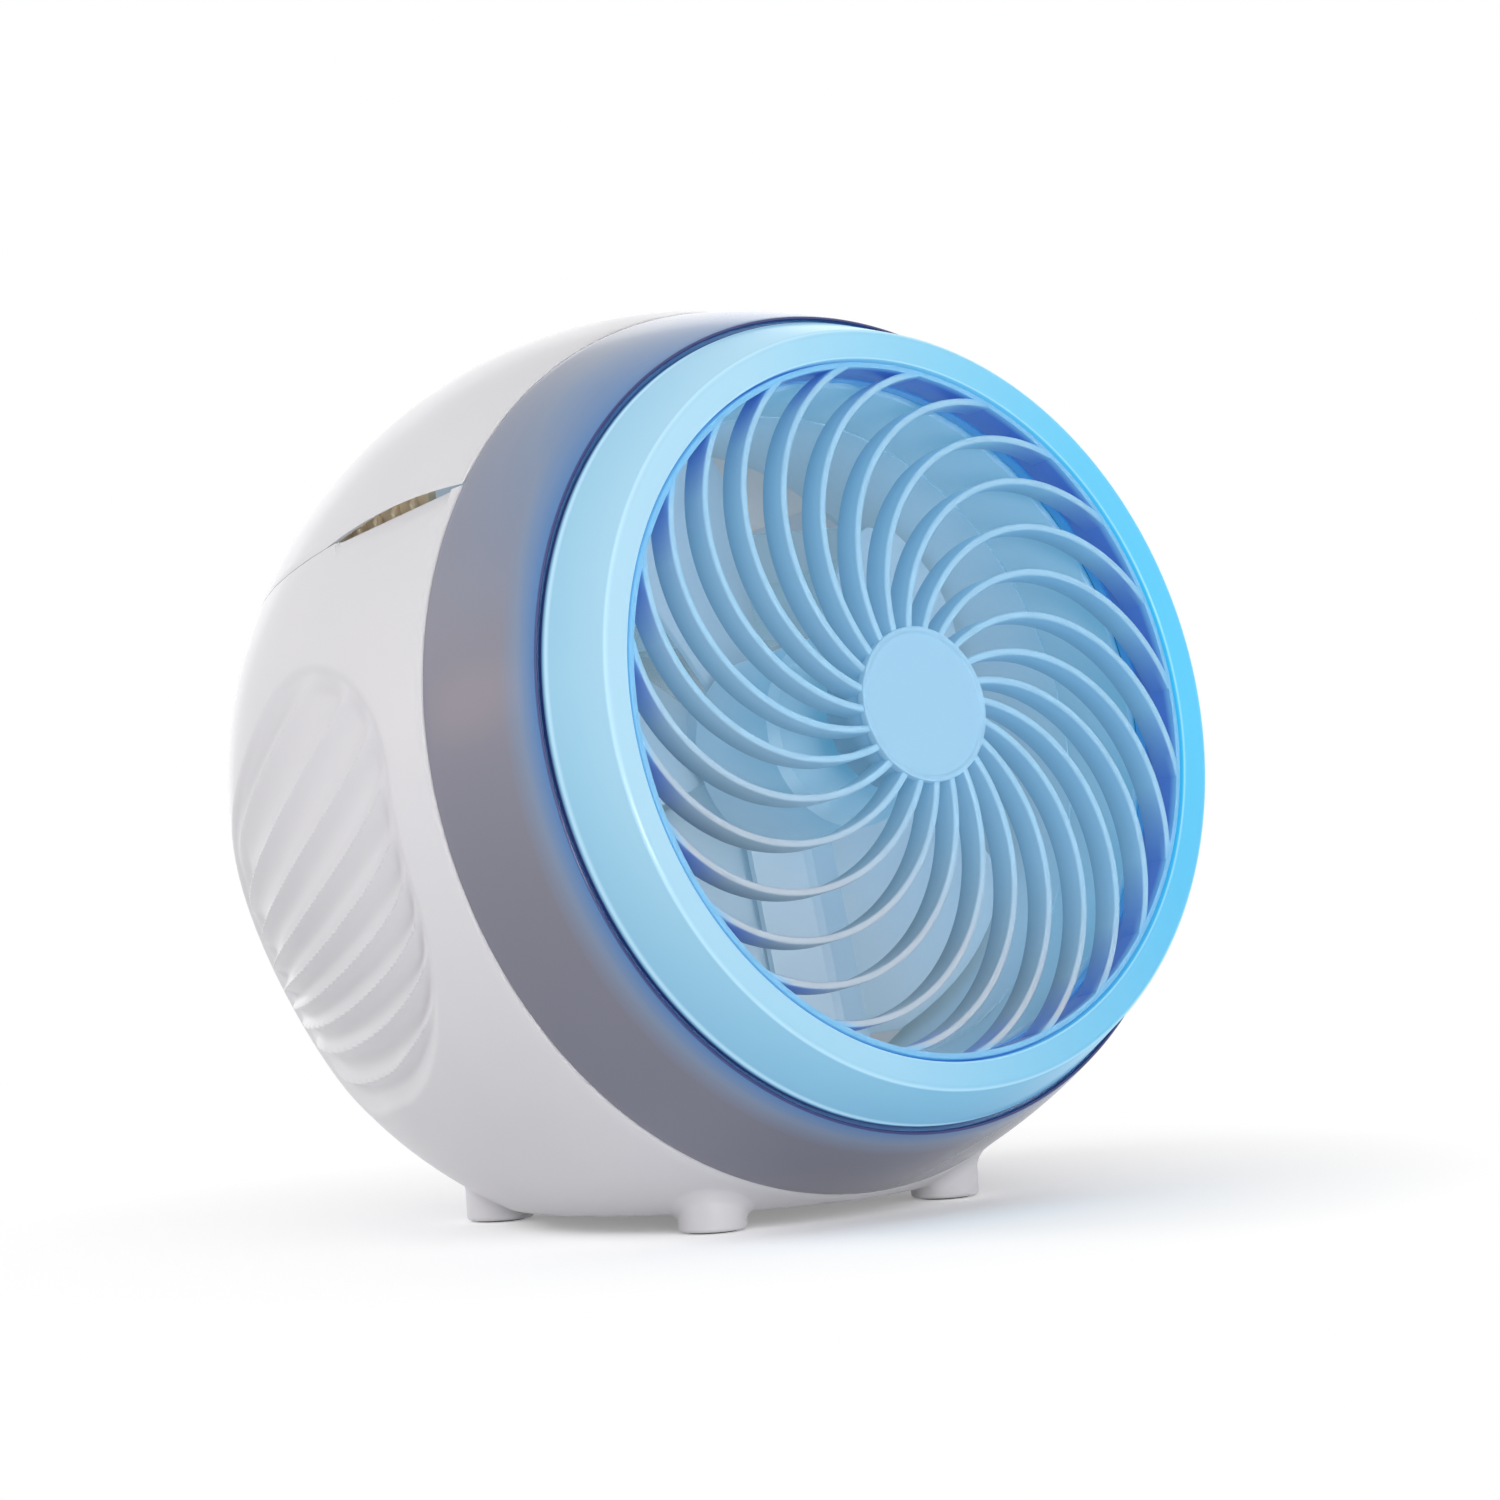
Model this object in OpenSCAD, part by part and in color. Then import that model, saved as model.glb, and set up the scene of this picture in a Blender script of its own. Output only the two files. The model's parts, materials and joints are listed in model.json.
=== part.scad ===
// Ball-shaped mini air cooler. A lit ring and a swirl grille stand in front of a duct fan that
// looks slightly upwards. Behind the fan are a wetted filter, a water tank under a lift-off lid,
// a round air intake and a small control panel. The ball stands on four feet.

/* [Ball] */
// Diameter of the ball
ball_d = 165; // [160:1:175]
// Thickness of the housing's wall
wall = 3.2; // [2.8:0.1:4]
// Depth of the flat that is cut off the ball's underside
base_cut = 9.5; // [8.5:0.5:12]
// Height of the feet below the flat underside
foot_h = 3; // [2.5:0.1:5]
// Upward tilt of the fan's axis, in degrees
tilt = 11.6; // [6:0.2:14]

/* [Trim band and light ring] */
// Distance along the fan's axis from the ball's centre to the trim band
split_d = 25.3; // [24:0.1:27]
// Length of the trim band along the axis
band_len = 22.9; // [21:0.1:25]
// How much the trim band narrows towards the front
band_drop = 6.6; // [5.5:0.1:7.5]
// Radius of the trim band's slight outward curve
band_curve = 142; // [100:1:300]
// Length of the light ring in front of the trim band
ring_len = 12.3; // [11:0.1:13.5]
// How much the light ring narrows towards the front
ring_drop = 5.5; // [5:0.1:6.5]
// Width of the light ring's front face
ring_face = 5.1; // [4.5:0.1:5.6]
// Width of the dark groove between trim band and light ring
groove_w = 0.8; // [0.5:0.1:1.2]
// Wall of the light ring and of the trim band's flange
trim_wall = 2.1; // [1.8:0.1:2.4]
// Number of lamps on the ring-shaped board
lamp_count = 16; // [8:1:24]

/* [Swirl grille] */
// Number of curved vanes
vane_count = 24; // [18:1:26]
// How far past the grille's edge the circle of each vane reaches
vane_reach = 2.6; // [1.6:0.1:6]
// Thickness of a vane
vane_t = 1.3; // [1:0.1:1.6]
// Depth of the grille at its rim
grille_depth = 7.8; // [6.5:0.1:8.5]
// How far the grille's middle stands proud of its rim
grille_dome = 3.4; // [2:0.1:4.5]
// Width of the grille's rim
grille_rim = 1.1; // [0.9:0.1:1.5]
// Radius of the bare disc in the middle
cap_r = 13.6; // [12:0.1:16]

/* [Duct and fan] */
// Step from the collar inwards to the duct's front edge
duct_step = 0.8; // [0.5:0.1:1.5]
// How much the duct's front piece narrows towards the fan
duct_taper = 1.6; // [1:0.1:3]
// Length of the duct's front piece
duct_len = 15; // [13:0.5:17]
// Length of the fan shroud
shroud_len = 31; // [30:0.5:32]
// Wall of duct and shroud
duct_wall = 1.5; // [1.2:0.1:1.7]
// Number of fan blades
blade_count = 5; // [4:1:7]
// Gap between the blade tips and the shroud
tip_gap = 1.6; // [1:0.1:3]
// Radius of the fan's hub
fan_hub_r = 14; // [12:0.5:16]
// Length of the fan's hub along the axis
fan_len = 14; // [12:0.5:15]
// Radius of the motor
motor_r = 15; // [13:0.5:17]
// Length of the motor
motor_len = 18; // [16:0.5:20]
// Radius of the motor's shaft
shaft_r = 1.5; // [1:0.1:2]
// Width of the strut that carries the motor
strut_w = 18.5; // [14:0.5:22]
// Height of the ridge along the strut
strut_ridge = 5; // [3:0.5:6]

/* [Lid and tank] */
// Backward tilt of the lid's edge, in degrees
lid_tilt = 18.3; // [16:0.1:20]
// Height of the lid from its edge to its top
lid_h = 34.7; // [33:0.1:36]
// Thickness of the lid
lid_wall = 2.4; // [2:0.1:3]
// Depth of the water tank
tank_depth = 20.5; // [16:0.5:21]
// Wall of the water tank
tank_wall = 1.6; // [1.2:0.1:2]
// Angle of the finger scoops forward of the lid's sides, in degrees
scoop_at = 14; // [8:0.5:20]
// Height of a finger scoop on the outside
scoop_h = 6; // [4:0.1:7]
// Width of a finger scoop
scoop_w = 27; // [20:0.5:30]

/* [Side flutes] */
// Radius of the side recess at its top
recess_top_r = 22; // [18:0.2:24]
// Radius of the side recess at its front and bottom
recess_front_r = 33.6; // [31:0.2:35]
// Radius of the side recess at its rear
recess_rear_r = 29.6; // [27:0.2:31]
// Depth of the flutes' crests below the ball
crest_depth = 0.9; // [0.5:0.1:1.2]
// Depth of each flute below its crests
flute_depth = 1.1; // [0.6:0.1:1.3]
// Angle between two crests, in degrees
flute_pitch = 4.25; // [4:0.05:6]

/* [Filter] */
// Width of the filter's frame
filter_w = 84; // [70:1:90]
// Distance from the filter's lower corners down to the housing's wall
filter_drop = 18; // [15:1:25]
// Thickness of the filter's frame
filter_t = 14; // [10:1:16]

/* [Rear] */
// Radius of the air intake in the back
intake_r = 27; // [22:0.5:28]
// Radius of the flat control panel
panel_r = 17; // [16:0.2:18]
// Angle of the control panel below the horizontal, in degrees
panel_dip = 45; // [44:0.5:47]
// Radius of a push button
button_r = 4; // [3:0.1:4.4]
// Travel of a push button
button_travel = 0.8; // [0.4:0.1:1]
// Distance of each button from the middle of the panel
button_x = 10.6; // [10:0.1:11]

/* [Feet] */
// Distance of the feet from the middle, to each side
foot_x = 26.8; // [24:0.1:30]
// Distance of the front feet from the ball's centre
foot_front = 28.8; // [26:0.1:32]
// Distance of the rear feet from the ball's centre
foot_rear = 29.7; // [26:0.1:32]
// Radius of a foot
foot_r = 6; // [5:0.1:7]
// Radius of the rubber pad under a foot
pad_r = 4.6; // [3.5:0.1:5]

/* [Hidden] */

$fn = 96;
curve_fn = 720;
dome_fn = 1440;

// Clearances and small common sizes
fit_gap = 0.3;
slip_gap = 0.25;
eps = 0.01;
big = 200;

// Ball
ball_r = ball_d / 2;
inner_r = ball_r - wall;
base_drop = ball_r - base_cut;
base_floor = base_drop - wall;
centre_h = base_drop + foot_h;

// Trim band and light ring, as radius about the fan's axis and distance along it
split_r = sqrt(ball_r * ball_r - split_d * split_d);
split_in_r = sqrt(inner_r * inner_r - split_d * split_d);
band_front_d = split_d + band_len;
band_front_r = split_r - band_drop;
band_lip = 0.5;
band_lip_r = band_front_r - band_lip;
flange_front_d = band_front_d - 1;
flange_back_d = flange_front_d - trim_wall;
ring_rear_r = band_lip_r - groove_w;
ring_rear_d = flange_front_d + fit_gap;
ring_crest_d = band_front_d + ring_len;
ring_crest_r = band_front_r - ring_drop;
ring_mouth_r = ring_crest_r - ring_face;
ring_shoulder_d = band_front_d + 1;
tongue_r = split_in_r - fit_gap;
tongue_in_r = tongue_r - 1.9;
tongue_end_d = split_d - 6.4;

// Swirl grille
grille_r = ring_mouth_r - fit_gap;
vane_curve = (grille_r + vane_reach) / 2;
grille_front_d = ring_crest_d - 0.6;
grille_back_d = grille_front_d - grille_depth;
grille_seat_d = grille_back_d - fit_gap;
dome_r = (grille_r * grille_r + grille_dome * grille_dome) / (2 * grille_dome);
dome_top_d = grille_front_d + grille_dome;
cap_t = 1.6;
cap_gap = 0.05;

// Duct, shroud and fan
collar_r = ring_mouth_r - 1.5;
collar_end_d = band_front_d + 1.7;
duct_front_r = collar_r - duct_step;
shroud_r = duct_front_r - duct_taper;
duct_front_d = collar_end_d - 0.7;
duct_rear_d = duct_front_d - duct_len;
shroud_front_d = duct_rear_d - fit_gap;
shroud_rear_d = shroud_front_d - shroud_len;
bulkhead_front_d = tongue_end_d - fit_gap;
bulkhead_t = 2.2;
bulkhead_seat_d = bulkhead_front_d - bulkhead_t - fit_gap;
bulkhead_r = tongue_r;
bulkhead_ledge_t = 2.4;
fan_front_d = 18.4;
fan_rear_d = fan_front_d - fan_len;
blade_tip_r = shroud_r - tip_gap;
blade_t = 1.5;
blade_camber_r = 46;
blade_pitch = 24;
blade_span = 66;
strut_rear_d = fan_front_d + 2.1;
cup_wall = 1.7;
cup_r = motor_r + fit_gap + cup_wall;
cup_rear_d = strut_rear_d + 1;
motor_rear_d = cup_rear_d + 1;
cup_front_d = motor_rear_d + motor_len + fit_gap + cup_wall;
bearing_r = 5;
bearing_rear_d = fan_front_d + 1;
shaft_gap = 0.05;
shaft_front_d = motor_rear_d + 3;

// Lid, tank and ledge, as radius about the lid's axis and height along it
lid_cut = ball_r - lid_h;
seat_z = lid_cut - fit_gap;
lid_in_r = ball_r - lid_wall;
ledge_z = seat_z - 6.5;
ledge_t = 2.5;
seat_in_r = sqrt(inner_r * inner_r - seat_z * seat_z);
ledge_in_r = seat_in_r - 1;
sill_r = ledge_in_r + 2.7;
sill_z = seat_z - 2.6;
tank_flange_t = 1.6;
tank_top_z = ledge_z + fit_gap + tank_flange_t;
tank_floor_z = tank_top_z - tank_depth;
tank_r = ledge_in_r - 0.6;
tank_flange_r = sill_r - fit_gap;
tank_front_d = shroud_rear_d - 3.3;
liner_t = 1.6;
liner_rib = 1.9;
liner_r = seat_in_r - fit_gap - liner_rib;
liner_rib_count = 48;
liner_z = tank_top_z + fit_gap;
liner_front_d = bulkhead_seat_d - bulkhead_ledge_t - fit_gap;
scoop_slit = 2.7;
valve_r = 4;
valve_y = 18;

// Side flutes: the recess is three rounds joined by tangents, each with its Y, Z and radius
recess_rounds = [[6, 3.8, recess_top_r], [14, -18.4, recess_front_r], [24, -24.6, recess_rear_r]];
flute_axis = [-0.869, 0.386, 0.309];
flute_first = 28.2;
flute_count = 13;

// Filter
filter_wall = 2;
filter_gap = 3.4;
filter_d = tank_front_d - 19;
filter_rear_d = filter_d - filter_t / 2;
filter_turn = lid_tilt - tilt;
filter_top_v = (tank_floor_z - filter_gap + filter_rear_d * sin(filter_turn)) / cos(filter_turn);
filter_reach = sqrt(inner_r * inner_r - filter_w * filter_w / 4 - filter_rear_d * filter_rear_d);
filter_h = filter_top_v + filter_reach - filter_drop;
filter_v = filter_top_v - filter_h / 2;
rail_w = 6;
rail_x = filter_w / 2 - 9;

// Rear
panel_d = sqrt(ball_r * ball_r - panel_r * panel_r);
panel_t = 2.4;
panel_back_d = panel_d - panel_t;
button_proud = 1;
button_flange = 1;
button_rim = 1;
board_d = panel_back_d - 9.4;
board_t = 1.6;
switch_h = 3;
usb_w = 9;
usb_h = 3.3;
usb_wall = 0.35;
switch_w = 6;
post_r = 2.2;
post_x = button_x + button_r + button_rim + post_r + 2 * fit_gap;
board_margin = 3;
board_w = 16;

// Feet
pad_t = 1.4;
pad_proud = 0.6;
foot_root_r = 8;
foot_root_h = 6;

// The ball's front and rear are equally far from the frame's origin
ring_nose_y = (ring_crest_d + 0.2) * cos(tilt) + (ring_crest_r - 0.9) * sin(tilt);
ball_y = (ring_nose_y - ball_r) / 2;

white = "whitesmoke";
grey = [0.49, 0.48, 0.53];
glow = [0.55, 0.84, 0.95];
mist = [0.72, 0.82, 0.9];

// Places the ball's centre at the frame's origin
module ball_frame() {
    translate([0, ball_y, centre_h])
        children();
}

// Within the ball: Z runs forwards along the fan's axis and Y up across it
module fan_frame() {
    rotate([90 - tilt, 0, 0])
        children();
}

// Within the ball: Z runs up along the lid's axis and Y backwards
module lid_frame() {
    rotate([-lid_tilt, 0, 0])
        children();
}

// Within the ball: Z runs out of the control panel, down and backwards
module panel_frame() {
    rotate([-90 - panel_dip, 0, 0])
        children();
}

module half_space_above(z) {
    translate([-big / 2, -big / 2, z])
        cube([big, big, big]);
}

module half_space_below(z) {
    translate([-big / 2, -big / 2, z - big])
        cube([big, big, big]);
}

module ring(r_out, r_in, z0, z1) {
    translate([0, 0, z0])
        difference() {
            cylinder(r = r_out, h = z1 - z0);
            translate([0, 0, -eps])
                cylinder(r = r_in, h = z1 - z0 + 2 * eps);
        }
}

// Centre of a circle through p and q, on the side of the axis
function arc_centre(p, q, r) =
    let (m = (p + q) / 2, w = q - p, half = norm(w) / 2)
    m + [-w[1], w[0]] / norm(w) * sqrt(r * r - half * half);

// Points of an arc that rounds the corner b between a and c
function corner(a, b, c, r, steps) =
    let (u = (a - b) / norm(a - b), v = (c - b) / norm(c - b), half = acos(u * v) / 2)
    let (m = b + (u + v) / norm(u + v) * r / sin(half))
    let (p = b + u * r / tan(half) - m, q = b + v * r / tan(half) - m)
    let (from = atan2(p[1], p[0]), turn = atan2(q[1], q[0]) - from)
    let (sweep = turn > 180 ? turn - 360 : turn < -180 ? turn + 360 : turn)
    [for (i = [0 : steps]) m + r * [cos(from + sweep * i / steps), sin(from + sweep * i / steps)]];

// Housing

module shell() {
    difference() {
        intersection() {
            sphere(r = ball_r);
            half_space_above(-base_drop);
        }
        intersection() {
            sphere(r = inner_r);
            half_space_above(-base_floor);
        }
    }
}

// Feet with flared roots, which end within the wall
module feet_solid() {
    difference() {
        for (p = foot_places())
            translate([p[0], p[1], 0])
                union() {
                    translate([0, 0, pad_proud - centre_h])
                        cylinder(r = foot_r, h = foot_root_h + foot_h);
                    translate([0, 0, -base_drop - foot_h / 6])
                        cylinder(r1 = foot_r, r2 = foot_root_r, h = foot_root_h);
                }
        inside_wall();
    }
}

function foot_places() = [[-foot_x, -foot_front], [foot_x, -foot_front], [-foot_x, foot_rear], [foot_x, foot_rear]];

// Space that inner features may fill: they end in the middle of the housing's wall
module inside_wall() {
    intersection() {
        sphere(r = ball_r - wall / 2);
        half_space_above(-base_drop + wall / 2);
    }
}

// Ledge that carries the tank, with a raised sill behind the lid's edge
module tank_ledge() {
    intersection() {
        inside_wall();
        lid_frame()
            union() {
                ring(ball_r, ledge_in_r, ledge_z - ledge_t, ledge_z);
                ring(ball_r, sill_r, ledge_z - eps, sill_z);
            }
        fan_frame()
            half_space_below(bulkhead_seat_d);
    }
}

// Ledge that the fan shroud's bulkhead is screwed to
module bulkhead_ledge() {
    intersection() {
        inside_wall();
        fan_frame()
            ring(ball_r, bulkhead_r - bulkhead_ledge_t, bulkhead_seat_d - bulkhead_ledge_t, bulkhead_seat_d);
    }
}

// Two rails on the floor with end stops, which hold the filter upright
module filter_rails() {
    intersection() {
        inside_wall();
        fan_frame()
            for (x = [-rail_x, rail_x])
                translate([x - rail_w / 2, -big / 2, filter_d - filter_t / 2 - 2.3])
                    difference() {
                        cube([rail_w, big / 2 + filter_v - filter_h / 2 + 4, filter_t + 4.6]);
                        translate([-eps, big / 2 + filter_v - filter_h / 2 - fit_gap, 2])
                            cube([rail_w + 2 * eps, 5, filter_t + 0.6]);
                    }
    }
}

// Thick backing of the control panel and the posts of its board
module panel_backing() {
    intersection() {
        inside_wall();
        panel_frame()
            union() {
                translate([0, 0, panel_back_d])
                    cylinder(r = panel_r + 2, h = wall + 2);
                for (x = [-post_x, post_x])
                    translate([x, 0, board_d + board_t])
                        cylinder(r = post_r, h = panel_back_d - board_d - board_t + 1);
            }
    }
}

// Inner step that carries the rear grille
module intake_ledge() {
    intersection() {
        sphere(r = ball_r - wall + 0.4);
        fan_frame()
            ring(intake_r + 2.4, intake_r - 1.6, -ball_r, -sqrt(ball_r * ball_r - intake_r * intake_r) + 5);
    }
}

module housing_cuts() {
    fan_frame()
        half_space_above(split_d);
    lid_frame()
        half_space_above(seat_z);
    fan_frame()
        translate([0, 0, -big])
            cylinder(r = intake_r - 1.6, h = big);
    intersection() {
        fan_frame()
            translate([0, 0, -big])
                cylinder(r = intake_r, h = big);
        difference() {
            sphere(r = ball_r + 1);
            sphere(r = ball_r - 2.9);
        }
    }
    for (side = [0, 1])
        mirror([side, 0, 0]) {
            side_flutes();
            finger_scoop();
        }
    panel_frame()
        panel_cuts();
    for (p = foot_places())
        translate([p[0], p[1], pad_proud - centre_h - eps])
            cylinder(r = pad_r + 0.15, h = pad_t - pad_proud + 0.1);
}

module panel_cuts() {
    half_space_above(panel_d);
    for (x = [-button_x, button_x])
        translate([x, 0, 0])
            union() {
                translate([0, 0, panel_back_d - 1])
                    cylinder(r = button_r + slip_gap, h = panel_t + 2);
                translate([0, 0, panel_back_d - 3])
                    cylinder(r = button_r + button_rim + fit_gap, h = 3);
            }
    translate([0, 0, panel_back_d - 1])
        usb_outline(slip_gap, panel_t + 2);
}

// Recess filled with flutes that run as parallels round a slanted axis
module side_flutes() {
    intersection() {
        recess_block();
        flute_cutter();
    }
}

// Direction in which the outer tangent from round p to the next round q faces
function tangent_turn(p, q) =
    let (w = [q[0] - p[0], q[1] - p[1]])
    atan2(w[1], w[0]) - acos((p[2] - q[2]) / norm(w));

// Points along the outline's arc on one round
function recess_arc(i, steps) =
    let (c = recess_rounds[i], before = recess_rounds[(i + 2) % 3], after = recess_rounds[(i + 1) % 3])
    let (from = tangent_turn(before, c), sweep = (tangent_turn(c, after) - from + 720) % 360)
    [for (k = [0 : steps]) let (a = from + sweep * k / steps) [c[0] + c[2] * cos(a), c[1] + c[2] * sin(a)]];

module recess_block() {
    rotate([90, 0, 90])
        translate([0, 0, -ball_r - 5])
            linear_extrude(ball_r - 10)
                polygon([for (i = [0 : 2]) each recess_arc(i, 12)]);
}

module flute_cutter() {
    crest_r = ball_r - crest_depth;
    half_chord = crest_r * sin(flute_pitch / 2);
    flute_r = (half_chord * half_chord + flute_depth * flute_depth) / (2 * flute_depth);
    centre_r = crest_r * cos(flute_pitch / 2) + flute_r - flute_depth;
    lean = acos(flute_axis[2]);
    turn = atan2(flute_axis[1], flute_axis[0]);
    rotate([0, lean, turn])
        rotate_extrude()
            intersection() {
                union() {
                    difference() {
                        circle(r = ball_r + 4);
                        circle(r = crest_r + 0.05);
                    }
                    for (i = [0 : flute_count - 1])
                        rotate(flute_first + flute_pitch * (i + 0.5))
                            translate([centre_r, 0])
                                circle(r = flute_r);
                }
                square([ball_r + 5, ball_r + 5]);
            }
}

// Ramp that slopes down and out through the wall under the lid's edge
module finger_scoop() {
    inner_z = seat_z - scoop_slit;
    outer_z = seat_z - scoop_h;
    inner_at = sill_r + 0.8;
    outer_at = sqrt(ball_r * ball_r - outer_z * outer_z);
    slope = atan((inner_z - outer_z) / (outer_at - inner_at));
    reach = 6;
    lid_frame()
        rotate([0, 0, 180 + scoop_at])
            translate([inner_at, -scoop_w / 2, inner_z])
                rotate([0, slope, 0])
                    translate([-reach, 0, 0])
                        cube([reach + 14, scoop_w, 14]);
}

module main_housing() {
    color(white)
        ball_frame()
            difference() {
                union() {
                    shell();
                    feet_solid();
                    tank_ledge();
                    bulkhead_ledge();
                    filter_rails();
                    panel_backing();
                    intake_ledge();
                }
                housing_cuts();
            }
}

// Trim band, light ring and lamps

module trim_band() {
    p = [split_r, split_d];
    q = [band_front_r, band_front_d];
    color(grey)
        ball_frame()
            fan_frame()
                rotate_extrude()
                    intersection() {
                        polygon([[split_r + 3, split_d], [band_front_r + 3, band_front_d],
                            [band_lip_r, band_front_d], [band_lip_r, flange_front_d],
                            [duct_front_r + duct_wall + 0.4, flange_front_d],
                            [duct_front_r + duct_wall + 0.4, flange_back_d],
                            [band_front_r - wall, flange_back_d],
                            [tongue_in_r, split_d + 2], [tongue_in_r, tongue_end_d],
                            [tongue_r, tongue_end_d], [tongue_r, split_d]]);
                        translate(arc_centre(p, q, band_curve))
                            circle(r = band_curve, $fn = curve_fn);
                    }
}

module light_ring() {
    channel_out = ring_rear_r - trim_wall;
    channel_in = ring_mouth_r + trim_wall;
    crest = [ring_crest_r, ring_crest_d];
    shoulder = [ring_rear_r, ring_shoulder_d];
    mouth = [ring_mouth_r + 0.1, ring_crest_d - 0.4];
    color(glow)
        ball_frame()
            fan_frame()
                rotate_extrude()
                    polygon(concat(
                        [[ring_rear_r, ring_rear_d], shoulder],
                        corner(shoulder, crest, mouth, 1.6, 5),
                        corner(crest, mouth, [ring_mouth_r, grille_seat_d], 0.5, 3),
                        [[ring_mouth_r, grille_seat_d], [collar_r, grille_seat_d],
                            [collar_r, collar_end_d], [channel_in - 1, collar_end_d],
                            [channel_in, ring_crest_d - 2.4], [ring_crest_r - 1.2, ring_crest_d - 2.4],
                            [channel_out, ring_shoulder_d], [channel_out, ring_rear_d]]));
}

module led_board() {
    color("darkgreen")
        ball_frame()
            fan_frame()
                ring(ring_rear_r - trim_wall - 0.4, duct_front_r + duct_wall + 1.4,
                    flange_front_d + 0.1, flange_front_d + 0.1 + 1.2);
}

module lamps() {
    lamp_at = (ring_rear_r + ring_mouth_r) / 2 - 0.3;
    color("lightyellow")
        ball_frame()
            fan_frame()
                for (i = [0 : lamp_count - 1])
                    rotate([0, 0, 360 * i / lamp_count])
                        translate([lamp_at - 1.4, -1.75, flange_front_d + 1.3])
                            cube([2.8, 3.5, 1.2]);
}

// Swirl grille

// Angle along the vane's own circle at which it is r away from the fan's axis
function vane_angle(r) = 2 * acos(r / (2 * vane_curve));

module vane() {
    start = vane_angle(grille_r - grille_rim / 2);
    end = vane_angle(cap_r - 1);
    rotate([0, 0, -19])
        translate([vane_curve, 0, grille_back_d])
            rotate([0, 0, start])
                rotate_extrude(angle = end - start)
                    translate([vane_curve - vane_t / 2, 0])
                        square([vane_t, grille_depth + grille_dome + 1]);
}

// Domed disc that holds the whole grille
module grille_envelope() {
    rotate_extrude()
        intersection() {
            translate([0, dome_top_d - 0.2 - dome_r])
                circle(r = dome_r, $fn = dome_fn);
            translate([0, grille_back_d])
                square([grille_r, grille_depth + grille_dome]);
        }
}

module front_grille() {
    color(mist)
        ball_frame()
            fan_frame()
                difference() {
                    intersection() {
                        union() {
                            ring(grille_r, grille_r - grille_rim, grille_back_d, grille_front_d);
                            translate([0, 0, grille_back_d])
                                cylinder(r = cap_r - 0.6, h = grille_depth + grille_dome);
                            for (i = [0 : vane_count - 1])
                                rotate([0, 0, 360 * i / vane_count])
                                    vane();
                        }
                        grille_envelope();
                    }
                    translate([0, 0, dome_top_d - cap_t - cap_gap])
                        cylinder(r = cap_r + cap_gap, h = cap_t + 1);
                }
}

// Bare disc with a fine raised lip, in front of the grille's hub
module grille_cap() {
    color(mist)
        ball_frame()
            fan_frame()
                difference() {
                    translate([0, 0, dome_top_d - cap_t])
                        cylinder(r = cap_r, h = cap_t);
                    translate([0, 0, dome_top_d - 0.3])
                        cylinder(r = cap_r - 0.7, h = 1);
                }
}

// Duct, shroud, motor and fan

module inner_duct() {
    color(white)
        ball_frame()
            fan_frame()
                rotate_extrude()
                    polygon([[duct_front_r, duct_front_d], [duct_front_r + duct_wall, duct_front_d],
                        [shroud_r + duct_wall + 0.2, duct_rear_d], [shroud_r, duct_rear_d]]);
}

module fan_shroud() {
    out_r = shroud_r + duct_wall;
    color(white)
        ball_frame()
            fan_frame()
                union() {
                    rotate_extrude()
                        polygon([[shroud_r, shroud_front_d], [out_r + 1.4, shroud_front_d],
                            [out_r + 1.4, shroud_front_d - 2], [out_r, shroud_front_d - 3.4],
                            [out_r, shroud_rear_d + 4], [out_r + 2, shroud_rear_d],
                            [shroud_r + 2, shroud_rear_d], [shroud_r, shroud_rear_d + 4]]);
                    ring(bulkhead_r, shroud_r + duct_wall / 2, bulkhead_front_d - bulkhead_t, bulkhead_front_d);
                }
}

module motor_bracket() {
    color(white)
        ball_frame()
            fan_frame()
                difference() {
                    union() {
                        translate([0, 0, cup_rear_d])
                            cylinder(r = cup_r, h = cup_front_d - cup_rear_d - 1.5);
                        translate([0, 0, cup_front_d - 1.5])
                            cylinder(r1 = cup_r, r2 = cup_r - 1.5, h = 1.5);
                        intersection() {
                            rotate([90, 0, 0])
                                linear_extrude(shroud_r)
                                    polygon([[-strut_w / 2, strut_rear_d], [strut_w / 2, strut_rear_d],
                                        [strut_w / 2, strut_rear_d + 1.2], [1, strut_rear_d + strut_ridge],
                                        [-1, strut_rear_d + strut_ridge], [-strut_w / 2, strut_rear_d + 1.2]]);
                            cylinder(r = shroud_r - 0.2, h = big);
                        }
                    }
                    translate([0, 0, strut_rear_d - 1])
                        cylinder(r = motor_r + fit_gap, h = cup_front_d - cup_wall - strut_rear_d + 1);
                }
}

module fan_motor() {
    color("silver")
        ball_frame()
            fan_frame()
                difference() {
                    union() {
                        translate([0, 0, motor_rear_d])
                            cylinder(r = motor_r, h = motor_len);
                        translate([0, 0, bearing_rear_d])
                            cylinder(r = bearing_r, h = motor_rear_d - bearing_rear_d + 1);
                    }
                    translate([0, 0, bearing_rear_d - 1])
                        cylinder(r = shaft_r + shaft_gap, h = shaft_front_d - bearing_rear_d + 1.3);
                }
}

module motor_shaft() {
    color("silver")
        ball_frame()
            fan_frame()
                translate([0, 0, fan_rear_d + 1])
                    cylinder(r = shaft_r, h = shaft_front_d - fan_rear_d - 1);
}

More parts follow.
